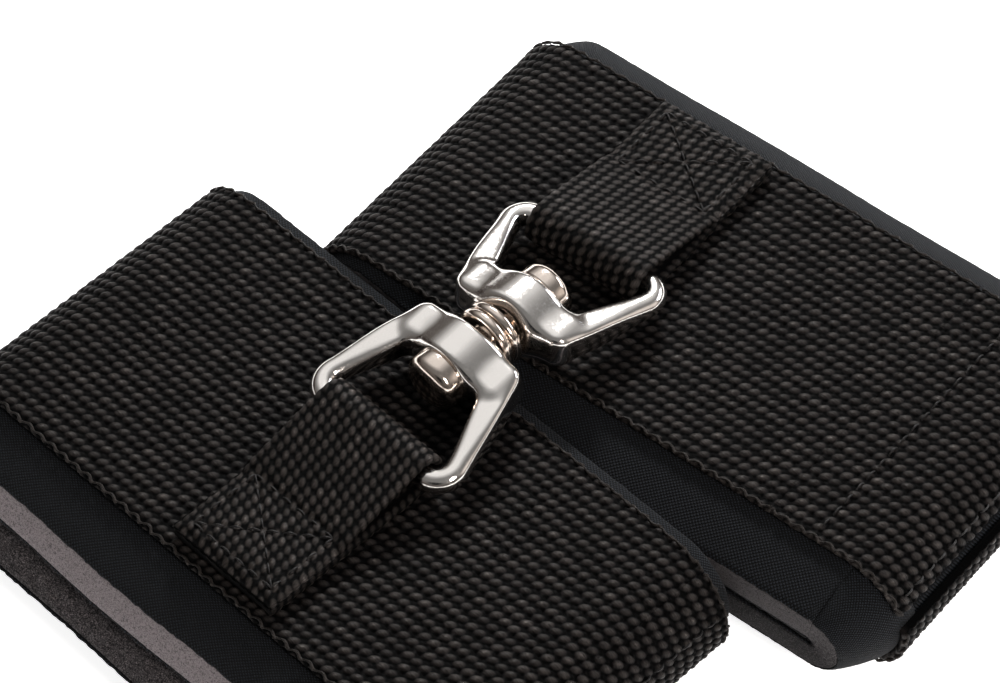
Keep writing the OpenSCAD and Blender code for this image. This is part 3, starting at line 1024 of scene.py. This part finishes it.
    def keeper_strip(self) -> bpy.types.Object:
        """The narrow webbing that holds the swivel, woven on both faces.

        Its profile is carried along the middle line; over the sewn part the stitches pull it down.

        Returns:
            The piece.
        """
        run, y, z, ny, nz = (a[:, None] for a in self.keeper_line(300))
        half = self.keeper_w / 2
        x = np.linspace(-half, half, 92)[None, :]
        run_f, x_f = np.broadcast_arrays(run, x)
        high, tone = self.keeper_weave.relief(run_f, x_f)
        low, low_tone = self.keeper_weave.relief(run_f + 0.9, -x_f)
        edge = half - np.abs(x_f)
        drop = 0.55 * (1 - np.sqrt(np.maximum(1 - np.maximum(1 - edge / 1.0, 0) ** 2, 0)))
        pull = 0.22 * np.abs(np.sin(math.pi * run_f / 2.6)) * (1 - step(edge, 0, 1.0)) * np.sign(x_f)
        t = self.keeper_t / 2
        sewn = float(run[-1, 0]) - self.sewn_l
        seam = self.seam_dip(run_f - sewn, x_f)
        tail = np.minimum(run[-1] - run_f, edge)
        press = self.end_press * (1 - step(tail, 0.0, 2.2)) * step(run_f, sewn - 1, sewn + 2)
        up = t - 0.42 + 0.45 * high - drop - seam - press
        down = -t + 0.3 - 0.3 * low + drop
        off = np.concatenate([up, down[:, ::-1]], 1)
        x_all = np.concatenate([x_f + pull, (x_f + pull)[:, ::-1]], 1)
        flip = -self.facing
        points = self.to_row(x_all, -flip * (y + ny * off), z + nz * off)
        relief = np.concatenate([high, low[:, ::-1] * 0.8], 1)
        lay = np.stack([np.broadcast_to(run, x_all.shape), x_all, relief], -1)
        return tube(self.name("keeper_strip"), points, lay,
                    np.concatenate([tone, low_tone[:, ::-1]], 1))

    def seam_dip(self, along: Array, x: Array) -> Array:
        """How far the box stitch and its cross pull the keeper in, most on each line of stitches.

        Args:
            along: Distance from where the sewn part starts, mm.
            x: Place across the keeper, mm.

        Returns:
            Depth, mm.
        """
        half = self.keeper_w / 2 - self.seam_inset
        length = self.sewn_l - self.seam_inset
        lines = [np.abs(np.abs(x) - half), np.abs(along), np.abs(along - length),
                 np.abs(x - half + 2 * half * along / length),
                 np.abs(x + half - 2 * half * along / length)]
        near = np.minimum.reduce(lines)
        inside = step(along, -1.2, -0.4) * (1 - step(along, length + 0.4, length + 1.2))
        return self.seam_depth * (1 - step(near, 0.0, 1.1)) * inside * (np.abs(x) < half + 1.2)

    def stitches(self, part: str, starts: Array, ends: Array, lift: Callable[[Array, Array], Array]
                 ) -> bpy.types.Object:
        """Rows of stitches, each a small twisted arch of thread that dives in at both ends.

        Height over the face is a half sine, and the thread's round section is carried along it.

        Args:
            part: Piece name without the cuff's letter.
            starts: (n, 2) starts of the rows on the face.
            ends: (n, 2) ends of the rows.
            lift: Gives row-frame points from (..., 2) places on the face and heights.

        Returns:
            The piece.
        """
        length, thick = self.stitch_l, self.thread_r
        bodies = []
        for p, q in zip(starts, ends):
            run = float(np.hypot(*(q - p)))
            count = int((run - length) / self.stitch_pitch) + 1
            at = np.linspace(0, run - length, count)[:, None, None]
            u = (q - p) / run
            t = np.linspace(0, 1, 9)[None, :, None]
            a = np.linspace(0, 2 * math.pi, 8, endpoint=False)[None, None, :]
            radius = thick * (0.75 + 0.25 * np.sin(math.pi * t)) * (1 + 0.12 * np.cos(2 * a + 9 * t))
            along = at + t * length + 0 * a
            beside = radius * np.cos(a) + 0 * at
            height = -0.34 + 0.46 * np.sin(math.pi * t) ** 0.7 + radius * np.sin(a) + 0 * at
            face = p + along[..., None] * u + beside[..., None] * np.array([-u[1], u[0]])
            bodies.append(lift(face, height))
        return blobs(self.name(part), np.concatenate(bodies))

    def cross_rows(self, runs: list[float]) -> tuple[Array, Array]:
        """Starts and ends of stitch rows straight across the webbing at the given runs."""
        lo, hi = self.band_v[0] + self.seam_inset, self.band_v[1] - self.seam_inset
        return np.array([[s, lo] for s in runs]), np.array([[s, hi] for s in runs])

    def on_band(self, face: Array, height: Array) -> Array:
        """Row-frame points at (run, across) places and heights over the webbing's face."""
        return self.on_oval(face[..., 0], face[..., 1], self.outer_r + height)

    def on_keeper(self, face: Array, height: Array) -> Array:
        """Row-frame points at local (x, y) places and heights over the keeper's sewn part."""
        top = 2 * self.outer_r + 2 * self.keeper_t
        return self.to_row(face[..., 0], self.facing * face[..., 1], top + height)

    def keeper_rows(self) -> tuple[Array, Array]:
        """Lays out the box stitch with its cross.

        Returns:
            Starts and ends of its rows, in local x and y for facing +1.
        """
        x = self.keeper_w / 2 - self.seam_inset
        y0, y1 = self.seam_inset - self.free_l - self.sewn_l, -self.free_l - 0.5
        starts = [(-x, y1), (-x, y0), (-x, y0), (x, y0), (-x, y0), (x, y0)]
        ends = [(x, y1), (x, y0), (-x, y1), (x, y1), (x, y1), (-x, y1)]
        return np.array(starts), np.array(ends)

    def build(self, dresser: Wardrobe) -> None:
        """Builds all pieces and dresses them; all but the flap are tied to their bodies.

        Args:
            dresser: Holds the finishes.
        """
        letter = self.side.value
        cuff, closure = f"cuff_{letter}", f"closure_{letter}"
        split = self.half_lap * 1.5
        bend = self.fold_s + self.lap - self.bend_back
        lower = self.webbing("webbing_lower", self.start_s, split, self.lower_pitch, self.under_count)
        upper = self.webbing("webbing_upper", split, bend, self.upper_pitch, self.under_count)
        flap = self.webbing("webbing_flap", bend, self.flap_s + self.lap, self.flap_pitch, self.flap_under)
        core = self.foam_core()
        rows = [
            (lower, WEBBING, "webbing", cuff, [f"band_{letter}"]),
            (upper, WEBBING, "webbing", cuff, []),
            (core, self.foam, "foam", cuff, [f"foam_pad_{letter}"]),
            (self.skin("knit_facing", self.facing_r, self.under_r), FACING, "knit_facing", cuff,
             [f"pad_facing_{letter}"]),
            (self.skin("knit_lining", self.lining_r, self.foam_r), LINING, "knit_lining", cuff,
             [f"pad_lining_{letter}"]),
            (self.loop_pile(), PILE, "loop_tape", cuff, [f"loop_tape_{letter}"]),
            (self.keeper_strip(), KEEPER_WEBBING, "keeper_webbing", cuff, [f"keeper_{letter}"]),
            (self.stitches("box_stitch", *self.keeper_rows(), self.on_keeper), THREAD, "thread", cuff,
             [f"keeper_stitches_{letter}"]),
            (self.stitches("end_stitch", *self.cross_rows([split - 3, split + 3]), self.on_band), THREAD,
             "thread", cuff, [f"band_stitches_{letter}"]),
            (self.hook_sheet(), HOOKS, "hook_tape", closure, [f"hook_tape_{letter}"]),
            (self.stitches("flap_stitch", *self.cross_rows([self.fold_s + 4.5, self.flap_s - 2.5]),
                           self.on_band), THREAD, "thread", closure, [f"flap_stitches_{letter}"]),
        ]
        for piece, finish, slot, body, nodes in rows:
            dresser.dress(piece, finish)
            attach(piece, body)
            if nodes:
                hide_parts(*nodes)
            LOG.info("%s on %s", piece.name, body)
        dresser.dress(flap, WEBBING)
        bends = np.array([self.fold_s - self.bend_back + 0.3, self.fold_s + self.bend_back - 0.6])
        ends = self.on_oval(bends, np.zeros(2), np.full(2, self.outer_r)) * MM
        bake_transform(flap)
        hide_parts(f"flap_{letter}")
        LOG.info("%s between %s and %s", flap.name, cuff, closure)


def join(first: bpy.types.Object, second: bpy.types.Object) -> bpy.types.Object:
    """Joins the second object's mesh into the first and removes the second.

    Args:
        first: Object that stays.
        second: Object whose mesh is added.

    Returns:
        The first object.
    """
    with bpy.context.temp_override(active_object=first, selected_editable_objects=[first, second]):
        bpy.ops.object.join()
    return first


# ---------------------------------------------------------------- the swivel


def blend_min(a: Array, b: Array, k: float) -> Array:
    """Smooth union of two distances: their mix less k h (1 - h), where h goes from 0 to 1 across k."""
    h = np.clip(0.5 + 0.5 * (b - a) / k, 0, 1)
    return b + (a - b) * h - k * h * (1 - h)


def surface_net(name: str, distance: Callable[[Array], Array], lo: Array, hi: Array, cell: float,
                place: Callable[[Array], Array]) -> bpy.types.Object:
    """Closed mesh of the places where a distance function is zero.

    A cell that the surface crosses gets one point, the mean of the crossings on its 12 edges, and an
    edge of the grid that crosses the surface joins the points of its four cells. Points then move
    along the slope until the distance is zero.

    Args:
        name: Piece name.
        distance: Signed distance of (n, 3) points in mm, negative inside.
        lo: Lowest corner of the grid.
        hi: Highest corner.
        cell: Cell size, mm.
        place: Takes local points to the row frame.

    Returns:
        The piece.
    """
    counts = np.ceil((hi - lo) / cell).astype(int) + 1
    axes = [lo[i] + cell * np.arange(counts[i]) for i in range(3)]
    grid = np.stack(np.meshgrid(*axes, indexing="ij"), -1)
    field_at = distance(grid.reshape(-1, 3)).reshape(counts)
    shape = counts - 1
    total, hits = np.zeros((*shape, 3)), np.zeros(shape)
    corners = [np.array([i, j, k]) for i in (0, 1) for j in (0, 1) for k in (0, 1)]
    for a in corners:
        for axis in range(3):
            if a[axis]:
                continue
            b = a.copy()
            b[axis] = 1
            fa, fb = (field_at[tuple(slice(c[i], c[i] + shape[i]) for i in range(3))] for c in (a, b))
            cross = (fa < 0) != (fb < 0)
            t = np.where(cross, fa / np.where(cross, fa - fb, 1), 0)
            total += cross[..., None] * (a + (b - a) * t[..., None])
            hits += cross
    used = hits > 0
    number = np.full(tuple(shape), -1)
    number[used] = np.arange(used.sum())
    base = np.argwhere(used)
    points = lo + cell * (base + total[used] / hits[used][:, None])
    quads = []
    for axis in range(3):
        u, w = (axis + 1) % 3, (axis + 2) % 3
        one, two = np.zeros(3, int), np.zeros(3, int)
        one[u], two[w] = 1, 1
        start = np.zeros(3, int)
        start[u], start[w] = 1, 1
        region = tuple(slice(start[i], shape[i]) for i in range(3))
        nxt = tuple(slice(start[i] + (i == axis), shape[i] + (i == axis)) for i in range(3))
        fa, fb = field_at[region], field_at[nxt]
        cross = (fa < 0) != (fb < 0)
        at = np.argwhere(cross) + start
        ring = [number[tuple((at - d).T)] for d in (one * 0, one, one + two, two)]
        quad = np.stack(ring, -1)
        inward = (fa < 0)[cross]
        quads.append(np.where(inward[:, None], quad, quad[:, ::-1]))
    quads = np.concatenate(quads)
    for _ in range(4):
        near, slope = distance(points), np.zeros_like(points)
        for i in range(3):
            nudge = np.zeros(3)
            nudge[i] = 0.02
            slope[:, i] = (distance(points + nudge) - distance(points - nudge)) / 0.04
        size = np.maximum((slope ** 2).sum(1), 0.05)
        points = points - np.clip(near / size, -0.2, 0.2)[:, None] * slope
    points = place(points)
    if volume(points - points.mean(0), quads) < 0:
        quads = quads[:, ::-1]
    return put_mesh(name, points, [quads])


@dataclass
class Eye:
    """One cast eye of the swivel: a thick yoke round the rivet, two arms and a crossbar."""

    side: Side
    hub: tuple[float, float, float]  # row place of the hub's centre, mm
    yaw: float  # radians, 0 where the crossbar lies towards -Y
    droop: float = math.radians(8.0)
    reach: float = 20.5
    rod_r: float = 2.2
    corner_r: float = 3.4
    corner_x: float = 16.43
    shoulder_x: float = 9.77
    hub_l: float = 7.0
    boss_r: float = 6.4
    bore_r: float = 3.68
    boss_round: float = 0.75
    yoke_half: float = 3.3  # half of the yoke's height
    yoke_round: float = 1.5
    cell: float = 0.3

    def distance(self, p: Array) -> Array:
        """Signed distance to the eye in its own frame, crossbar towards -Y.

        Yoke and boss are rounded boxes, and the bow is a bar whose section goes from a rounded
        square at the shoulders to round at the crossbar, along two straights and a corner arc. The
        three join with smooth unions, and the bore is taken out with a rounded mouth.

        Args:
            p: (n, 3) points, mm.

        Returns:
            (n,) distances.
        """
        x, y, z = np.abs(p[:, 0]), p[:, 1], p[:, 2]
        shoulder = np.array([self.shoulder_x, 0.4])
        corner = np.array([self.corner_x, -self.reach])
        arm = (shoulder - corner) / np.hypot(*(shoulder - corner))
        half = math.acos(-arm[0]) / 2
        cut = self.corner_r / math.tan(half)
        first, second = corner + arm * cut, corner + np.array([-cut, 0])
        centre = second + np.array([0, self.corner_r])
        t = np.clip((x - first[0]) * arm[0] + (y - first[1]) * arm[1], 0,
                    float(np.hypot(*(shoulder - first))))
        d_arm = np.hypot(x - first[0] - t * arm[0], y - first[1] - t * arm[1])
        d_bar = np.hypot(np.maximum(x - second[0], 0), y + self.reach)
        cx, cy = x - centre[0], y - centre[1]
        angle = np.arctan2(cy, cx)
        start, end = -math.pi / 2, math.atan2(first[1] - centre[1], first[0] - centre[0])
        d_arc = np.where((angle > start) & (angle < end), np.abs(np.hypot(cx, cy) - self.corner_r), 99.0)
        flat = np.minimum(np.minimum(d_arm, d_bar), d_arc)
        rise = step(y, -self.reach + 4, -3.0)
        wide, tall, power = self.rod_r + 0.55 * rise, self.rod_r + 0.75 * rise, 2 + 2.2 * rise
        bow = ((flat / wide) ** power + (np.abs(z) / tall) ** power) ** (1 / power)
        bow = (bow - 1) * self.rod_r
        ry = self.hub_l / 2
        bx, by = np.hypot(x, z) - self.boss_r + self.boss_round, np.abs(y) - ry + self.boss_round
        boss = np.hypot(np.maximum(bx, 0), np.maximum(by, 0)) + np.minimum(np.maximum(bx, by), 0)
        boss = boss - self.boss_round
        taper = 0.15 * step(x, 5.0, self.shoulder_x + 2)
        yx = x - self.shoulder_x + 0.2
        yy = np.abs(y) - ry + self.yoke_round + taper
        yz = np.abs(z) - self.yoke_half + self.yoke_round
        yoke = np.sqrt(np.maximum(yx, 0) ** 2 + np.maximum(yy, 0) ** 2 + np.maximum(yz, 0) ** 2)
        yoke = yoke + np.minimum(np.maximum(np.maximum(yx, yy), yz), 0) - self.yoke_round
        body = blend_min(blend_min(boss, yoke, 4.5), bow, 2.0)
        bore = self.bore_r - np.hypot(p[:, 0], z)
        return -blend_min(-body, -bore, 0.5)

    def place(self, p: Array) -> Array:
        """Turns local points by the droop and the yaw and moves them to the hub.

        Args:
            p: (n, 3) points in the eye's own frame, mm.

        Returns:
            (n, 3) points in the row frame, mm.
        """
        c, s = math.cos(self.droop), math.sin(self.droop)
        y, z = c * p[:, 1] - s * p[:, 2], s * p[:, 1] + c * p[:, 2]
        a, b = math.cos(self.yaw), math.sin(self.yaw)
        return np.stack([a * p[:, 0] - b * y, b * p[:, 0] + a * y, z], -1) + np.array(self.hub)

    def build(self, dresser: Wardrobe) -> None:
        """Builds the eye, dresses it and ties it to its body.

        Args:
            dresser: Holds the finishes.
        """
        lo, hi = np.array([-19.6, -23.4, -7.4]), np.array([19.6, 4.6, 7.4])  # just past the casting
        eye = surface_net(f"cast_eye_{self.side.value}", self.distance, lo, hi, self.cell, self.place)
        dresser.dress(eye, EYE_PLATE)
        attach(eye, f"eye_{self.side.value}")
        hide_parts(f"eye_{self.side.value}")
        LOG.info("%s: %d faces", eye.name, len(eye.data.polygons))


@dataclass
class Pin:
    """The rivet with its two domed heads, and the two washers between the eyes."""

    centre: tuple[float, float, float]
    head_y: float
    head_l: float = 4.5
    head_r: float = 5.4
    head_round: float = 0.5
    crown_l: float = 2.6
    shank_r: float = 2.8
    washer_r: float = 6.2
    washer_t: float = 2.0

    def turned(self, name: str, profile: Array, ring: bool) -> bpy.types.Object:
        """A body turned about the rivet's axis: each profile point goes round in 96 steps.

        Args:
            name: Piece name.
            profile: (n, 2) places along the axis and radii, mm.
            ring: True if the profile closes on itself.

        Returns:
            The piece.
        """
        a = np.linspace(0, 2 * math.pi, 96, endpoint=False)[None, :]
        y, r = profile[:, :1], profile[:, 1:]
        points = np.stack(np.broadcast_arrays(r * np.cos(a), y + 0 * a, r * np.sin(a)), -1)
        return tube(name, points + np.array(self.centre), ring=ring)

    def head_profile(self) -> Array:
        """Half of the rivet's profile, from the middle of the shank to the middle of the head.

        The head rises as a quarter ellipse with a rounded rim, and its crown is almost flat.

        Returns:
            (n, 2) places along the axis and radii, mm.
        """
        base, top = self.head_y, self.head_y + self.head_l
        under = np.array([[0.0, self.shank_r], [base - 0.1, self.shank_r], [base, self.shank_r + 0.15],
                          [base, self.head_r - self.head_round]])
        t = np.linspace(-math.pi / 2, 0, 7)
        rim = np.stack([base + self.head_round + self.head_round * np.sin(t),
                        self.head_r - self.head_round + self.head_round * np.cos(t)], -1)
        q = np.linspace(0, math.pi / 2, 26)[1:]
        dome = np.stack([top - self.crown_l + self.crown_l * np.sin(q) ** 0.85,
                         0.02 + (self.head_r - 0.02) * np.maximum(np.cos(q), 0) ** 0.62], -1)
        return np.concatenate([under, rim, dome])

    def washer_profile(self, side: float) -> Array:
        """Closed profile of a washer: a half-round rim, a flat face on each side and the bore.

        Args:
            side: -1 or +1, the way that it lies from the rivet's middle.

        Returns:
            (n, 2) places along the axis and radii, mm.
        """
        t, bore, edge = self.washer_t, self.shank_r + 0.06, 0.9
        q = np.linspace(0, math.pi, 28)
        rim = np.stack([t / 2 - (t / 2 - 0.04) * np.cos(q),
                        self.washer_r - edge + edge * np.sin(q) ** 0.8], -1)
        bore_line = np.array([[t - 0.04, bore + 0.2], [t - 0.2, bore], [0.2, bore], [0.04, bore + 0.2]])
        profile = np.concatenate([rim, bore_line])
        profile[:, 0] *= side
        return profile

    def build(self, dresser: Wardrobe) -> None:
        """Builds rivet and washers, dresses them and ties them to the pin.

        Args:
            dresser: Holds the finishes.
        """
        half = self.head_profile()
        rivet = self.turned("rivet", np.concatenate([half[::-1] * np.array([-1, 1]), half[1:]]), False)
        rows = [(rivet, RIVET_PLATE, "plated_rivet", "swivel_rivet")]
        for side, letter in ((-1.0, "a"), (1.0, "b")):
            ring = self.turned(f"ring_washer_{letter}", self.washer_profile(side), True)
            rows.append((ring, WASHER_PLATE, "plated_washer", f"washer_{letter}"))
        for piece, finish, slot, node in rows:
            dresser.dress(piece, finish)
            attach(piece, "pin")
            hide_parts(node)
            LOG.info("%s on pin", piece.name)


# ---------------------------------------------------------------- studio


@dataclass
class Studio:
    """Camera, pale floor and soft lights."""

    azimuth: float = 47.7  # degrees; 0 looks along +Y
    elevation: float = 52.3
    roll: float = -2.75
    target: tuple[float, float, float] = (1.91, 38.54, 27.0)  # mm
    distance: float = 857.6  # mm
    lens: float = 180.0  # mm on a 36 mm wide sensor

    def camera(self) -> None:
        """Makes the camera: it looks at the target from its azimuth and elevation, then rolls."""
        a, e, r = (math.radians(v) for v in (self.azimuth, self.elevation, self.roll))
        back = Vector((math.sin(a) * math.cos(e), -math.cos(a) * math.cos(e), math.sin(e)))
        level = Vector((math.cos(a), math.sin(a), 0))
        up = back.cross(level)
        right = level * math.cos(r) + up * math.sin(r)
        up = back.cross(right)
        data = bpy.data.cameras.new("camera")
        data.lens = self.lens
        data.clip_start, data.clip_end = 0.05, 20
        camera = bpy.data.objects.new("camera", data)
        turn = Matrix((right, up, back)).transposed().to_4x4()
        camera.matrix_world = Matrix.Translation(Vector(self.target) * MM + back * self.distance * MM) @ turn
        bpy.context.scene.collection.objects.link(camera)
        bpy.context.scene.camera = camera

    def floor(self) -> None:
        """Makes the floor: a wide pale disc of matt paper just under the cuffs."""
        a = np.linspace(0, 2 * math.pi, 64, endpoint=False)[None, :]
        r = np.array([[2500.0], [1.0]])
        points = np.stack([r * np.cos(a), r * np.sin(a), np.full((2, 64), -0.25)], -1).reshape(-1, 3)
        index = np.arange(64)
        quads = np.stack([index, np.roll(index, -1), np.roll(index, -1) + 64, index + 64], -1)
        floor = put_mesh("floor", points, [quads, (index + 64)[None, :]])
        material, _, _ = Finish("matt_white_paper").shader(
            Base_Color=linear("#f4f4f4"), Roughness=0.9, Emission_Color=linear("#ffffff"),
            Emission_Strength=0.85)
        floor.data.materials.append(material)

    def light(self, name: str, place: tuple[float, float, float], size: tuple[float, float],
              watts: float, code: str) -> None:
        """Adds a soft box that points at the swivel.

        Args:
            name: Light name.
            place: Where it hangs, metres.
            size: Width and height, metres.
            watts: Power.
            code: sRGB hex colour.
        """
        data = bpy.data.lights.new(name, "AREA")
        data.shape = "RECTANGLE"
        data.size, data.size_y = size
        data.energy = watts
        data.color = linear(code)[:3]
        lamp = bpy.data.objects.new(name, data)
        aim = Vector(self.target) * MM - Vector(place)
        lamp.rotation_mode = "QUATERNION"
        lamp.rotation_quaternion = aim.to_track_quat("-Z", "Y")
        lamp.location = place
        lamp.visible_camera = False
        bpy.context.scene.collection.objects.link(lamp)

    def card(self, name: str, place: tuple[float, float, float], size: tuple[float, float],
             code: str, strength: float) -> None:
        """Adds a flat card that shows only in what is glossy, with a soft edge.

        Args:
            name: Card name.
            place: Its middle, metres. It faces the swivel.
            size: Width and height, metres.
            code: sRGB hex colour.
            strength: Emission, 0 for a card that is just dark.
        """
        w, h = size[0] / 2, size[1] / 2
        aim = (Vector(self.target) * MM - Vector(place)).to_track_quat("-Z", "Y").to_matrix()
        flat = np.array([[-w, -h, 0], [w, -h, 0], [w, h, 0], [-w, h, 0]])
        points = flat @ np.array(aim).T + np.array(place)
        card = put_mesh(name, points / MM, [np.arange(4)[None, :]])
        material, tree, shader = Finish(name).shader(Base_Color=linear("#000000"), Roughness=1.0,
                                                     Emission_Color=linear(code),
                                                     Emission_Strength=strength)
        reach = 0.55 * max(size)
        place_at = add(tree, "ShaderNodeTexCoord", {}).outputs["Object"]
        centred = add(tree, "ShaderNodeMapping", {0: place_at, "Location": tuple(-c / reach for c in place),
                                                  "Scale": (1 / reach,) * 3})
        fade = add(tree, "ShaderNodeTexGradient", {0: centred.outputs[0]}, gradient_type="QUADRATIC_SPHERE")
        soft = add(tree, "ShaderNodeMapRange", {0: fade.outputs[0], 1: 0.0, 2: 0.5, 3: 0.0, 4: 1.0})
        clear = add(tree, "ShaderNodeBsdfTransparent", {})
        mix = add(tree, "ShaderNodeMixShader", {0: soft.outputs[0], 1: clear.outputs[0],
                                                2: shader.outputs[0]})
        tree.links.new(mix.outputs[0], tree.nodes["Material Output"].inputs[0])
        card.data.materials.append(material)
        card.visible_camera = card.visible_diffuse = card.visible_shadow = False

    def world(self) -> None:
        """Sets a pale sky that is brown-grey near the horizon and bright overhead."""
        world = bpy.data.worlds.new("studio")
        world.use_nodes = True
        tree = world.node_tree
        tree.nodes.clear()
        place = add(tree, "ShaderNodeTexCoord", {}).outputs["Generated"]
        height = add(tree, "ShaderNodeSeparateXYZ", {0: place}).outputs[2]
        sky = ramp(tree, height, [(0.0, "#9a8f88"), (0.25, "#bdb5b0"), (0.6, "#e8e6e4"), (1.0, "#f6f6f6")])
        back = add(tree, "ShaderNodeBackground", {0: sky, 1: 0.24})
        add(tree, "ShaderNodeOutputWorld", {0: back.outputs[0]})
        bpy.context.scene.world = world

    def build(self) -> None:
        """Sets up the whole studio."""
        self.camera()
        self.floor()
        self.world()
        self.light("key", (-0.35, 0.5, 0.5), (0.16, 0.1), 7.0, "#ffffff")
        self.light("fill", (0.55, -0.05, 0.42), (0.14, 0.2), 2.6, "#fff6f0")
        self.light("rim", (0.25, 0.8, 0.35), (0.5, 0.2), 2.5, "#f2f6ff")
        self.card("sky_card", (-0.2, 0.2, 0.5), (1.3, 1.1), "#ffffff", 0.92)
        self.card("side_card", (0.38, 0.3, 0.2), (0.4, 0.35), "#fff6ee", 0.8)
        self.card("dark_card", (0.25, -0.45, 0.3), (0.6, 0.22), "#0c0a09", 0.0)
        self.card("brown_card", (-0.5, -0.1, 0.12), (0.5, 0.14), "#4b372e", 0.25)
        bpy.context.scene.view_settings.view_transform = "Standard"


def joint(name: str) -> tuple[Array, Array]:
    """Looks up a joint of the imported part.

    Args:
        name: Joint name.

    Returns:
        Its place in mm, and its axis.
    """
    found = next(j for j in frame["joints"] if j["name"] == name)
    return np.array(found["pos_m"]) / MM, np.array(found["axis"])


def main() -> None:
    """Builds studio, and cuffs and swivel."""
    logging.basicConfig(level=logging.INFO, format="%(message)s")
    dresser = Wardrobe()
    Studio().build()
    bar_a, _ = joint("eye_a_lift")
    bar_b, axis_b = joint("cuff_b_lift")
    yaw_b = math.atan2(abs(axis_b[1]), abs(axis_b[0]))
    Cuff(Side.A, (bar_a[0], bar_a[1]), yaw=0.0, facing=1, dx=-4.0, rim_out=10.0, rim_in=3.0,
         foam=FOAM_A, bar_z=bar_a[2]).build(dresser)
    # cuff B's foam is the darker copy, painted shade
    Cuff(Side.B, (bar_b[0], bar_b[1]), yaw=yaw_b, facing=-1, dx=19.5, rim_out=8.5, rim_in=10.0,
         foam=FOAM_B_SHADED, edge_limit=33.6, bar_z=bar_b[2]).build(dresser)
    axle, _ = joint("pin_spin")
    lo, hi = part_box("swivel_rivet")
    centre = (axle[0], (lo.y + hi.y) / 2 / MM, axle[2])
    hub_dy = centre[1] - bar_a[1] - Eye.reach * math.cos(Eye.droop)
    Eye(Side.A, (centre[0], centre[1] - hub_dy, centre[2]), 0.0).build(dresser)
    Eye(Side.B, (centre[0], centre[1] + hub_dy, centre[2]), yaw_b + math.pi).build(dresser)
    Pin(centre, head_y=(hi.y - lo.y) / 2 / MM - Pin.head_l).build(dresser)


if __name__ == "__main__":
    main()
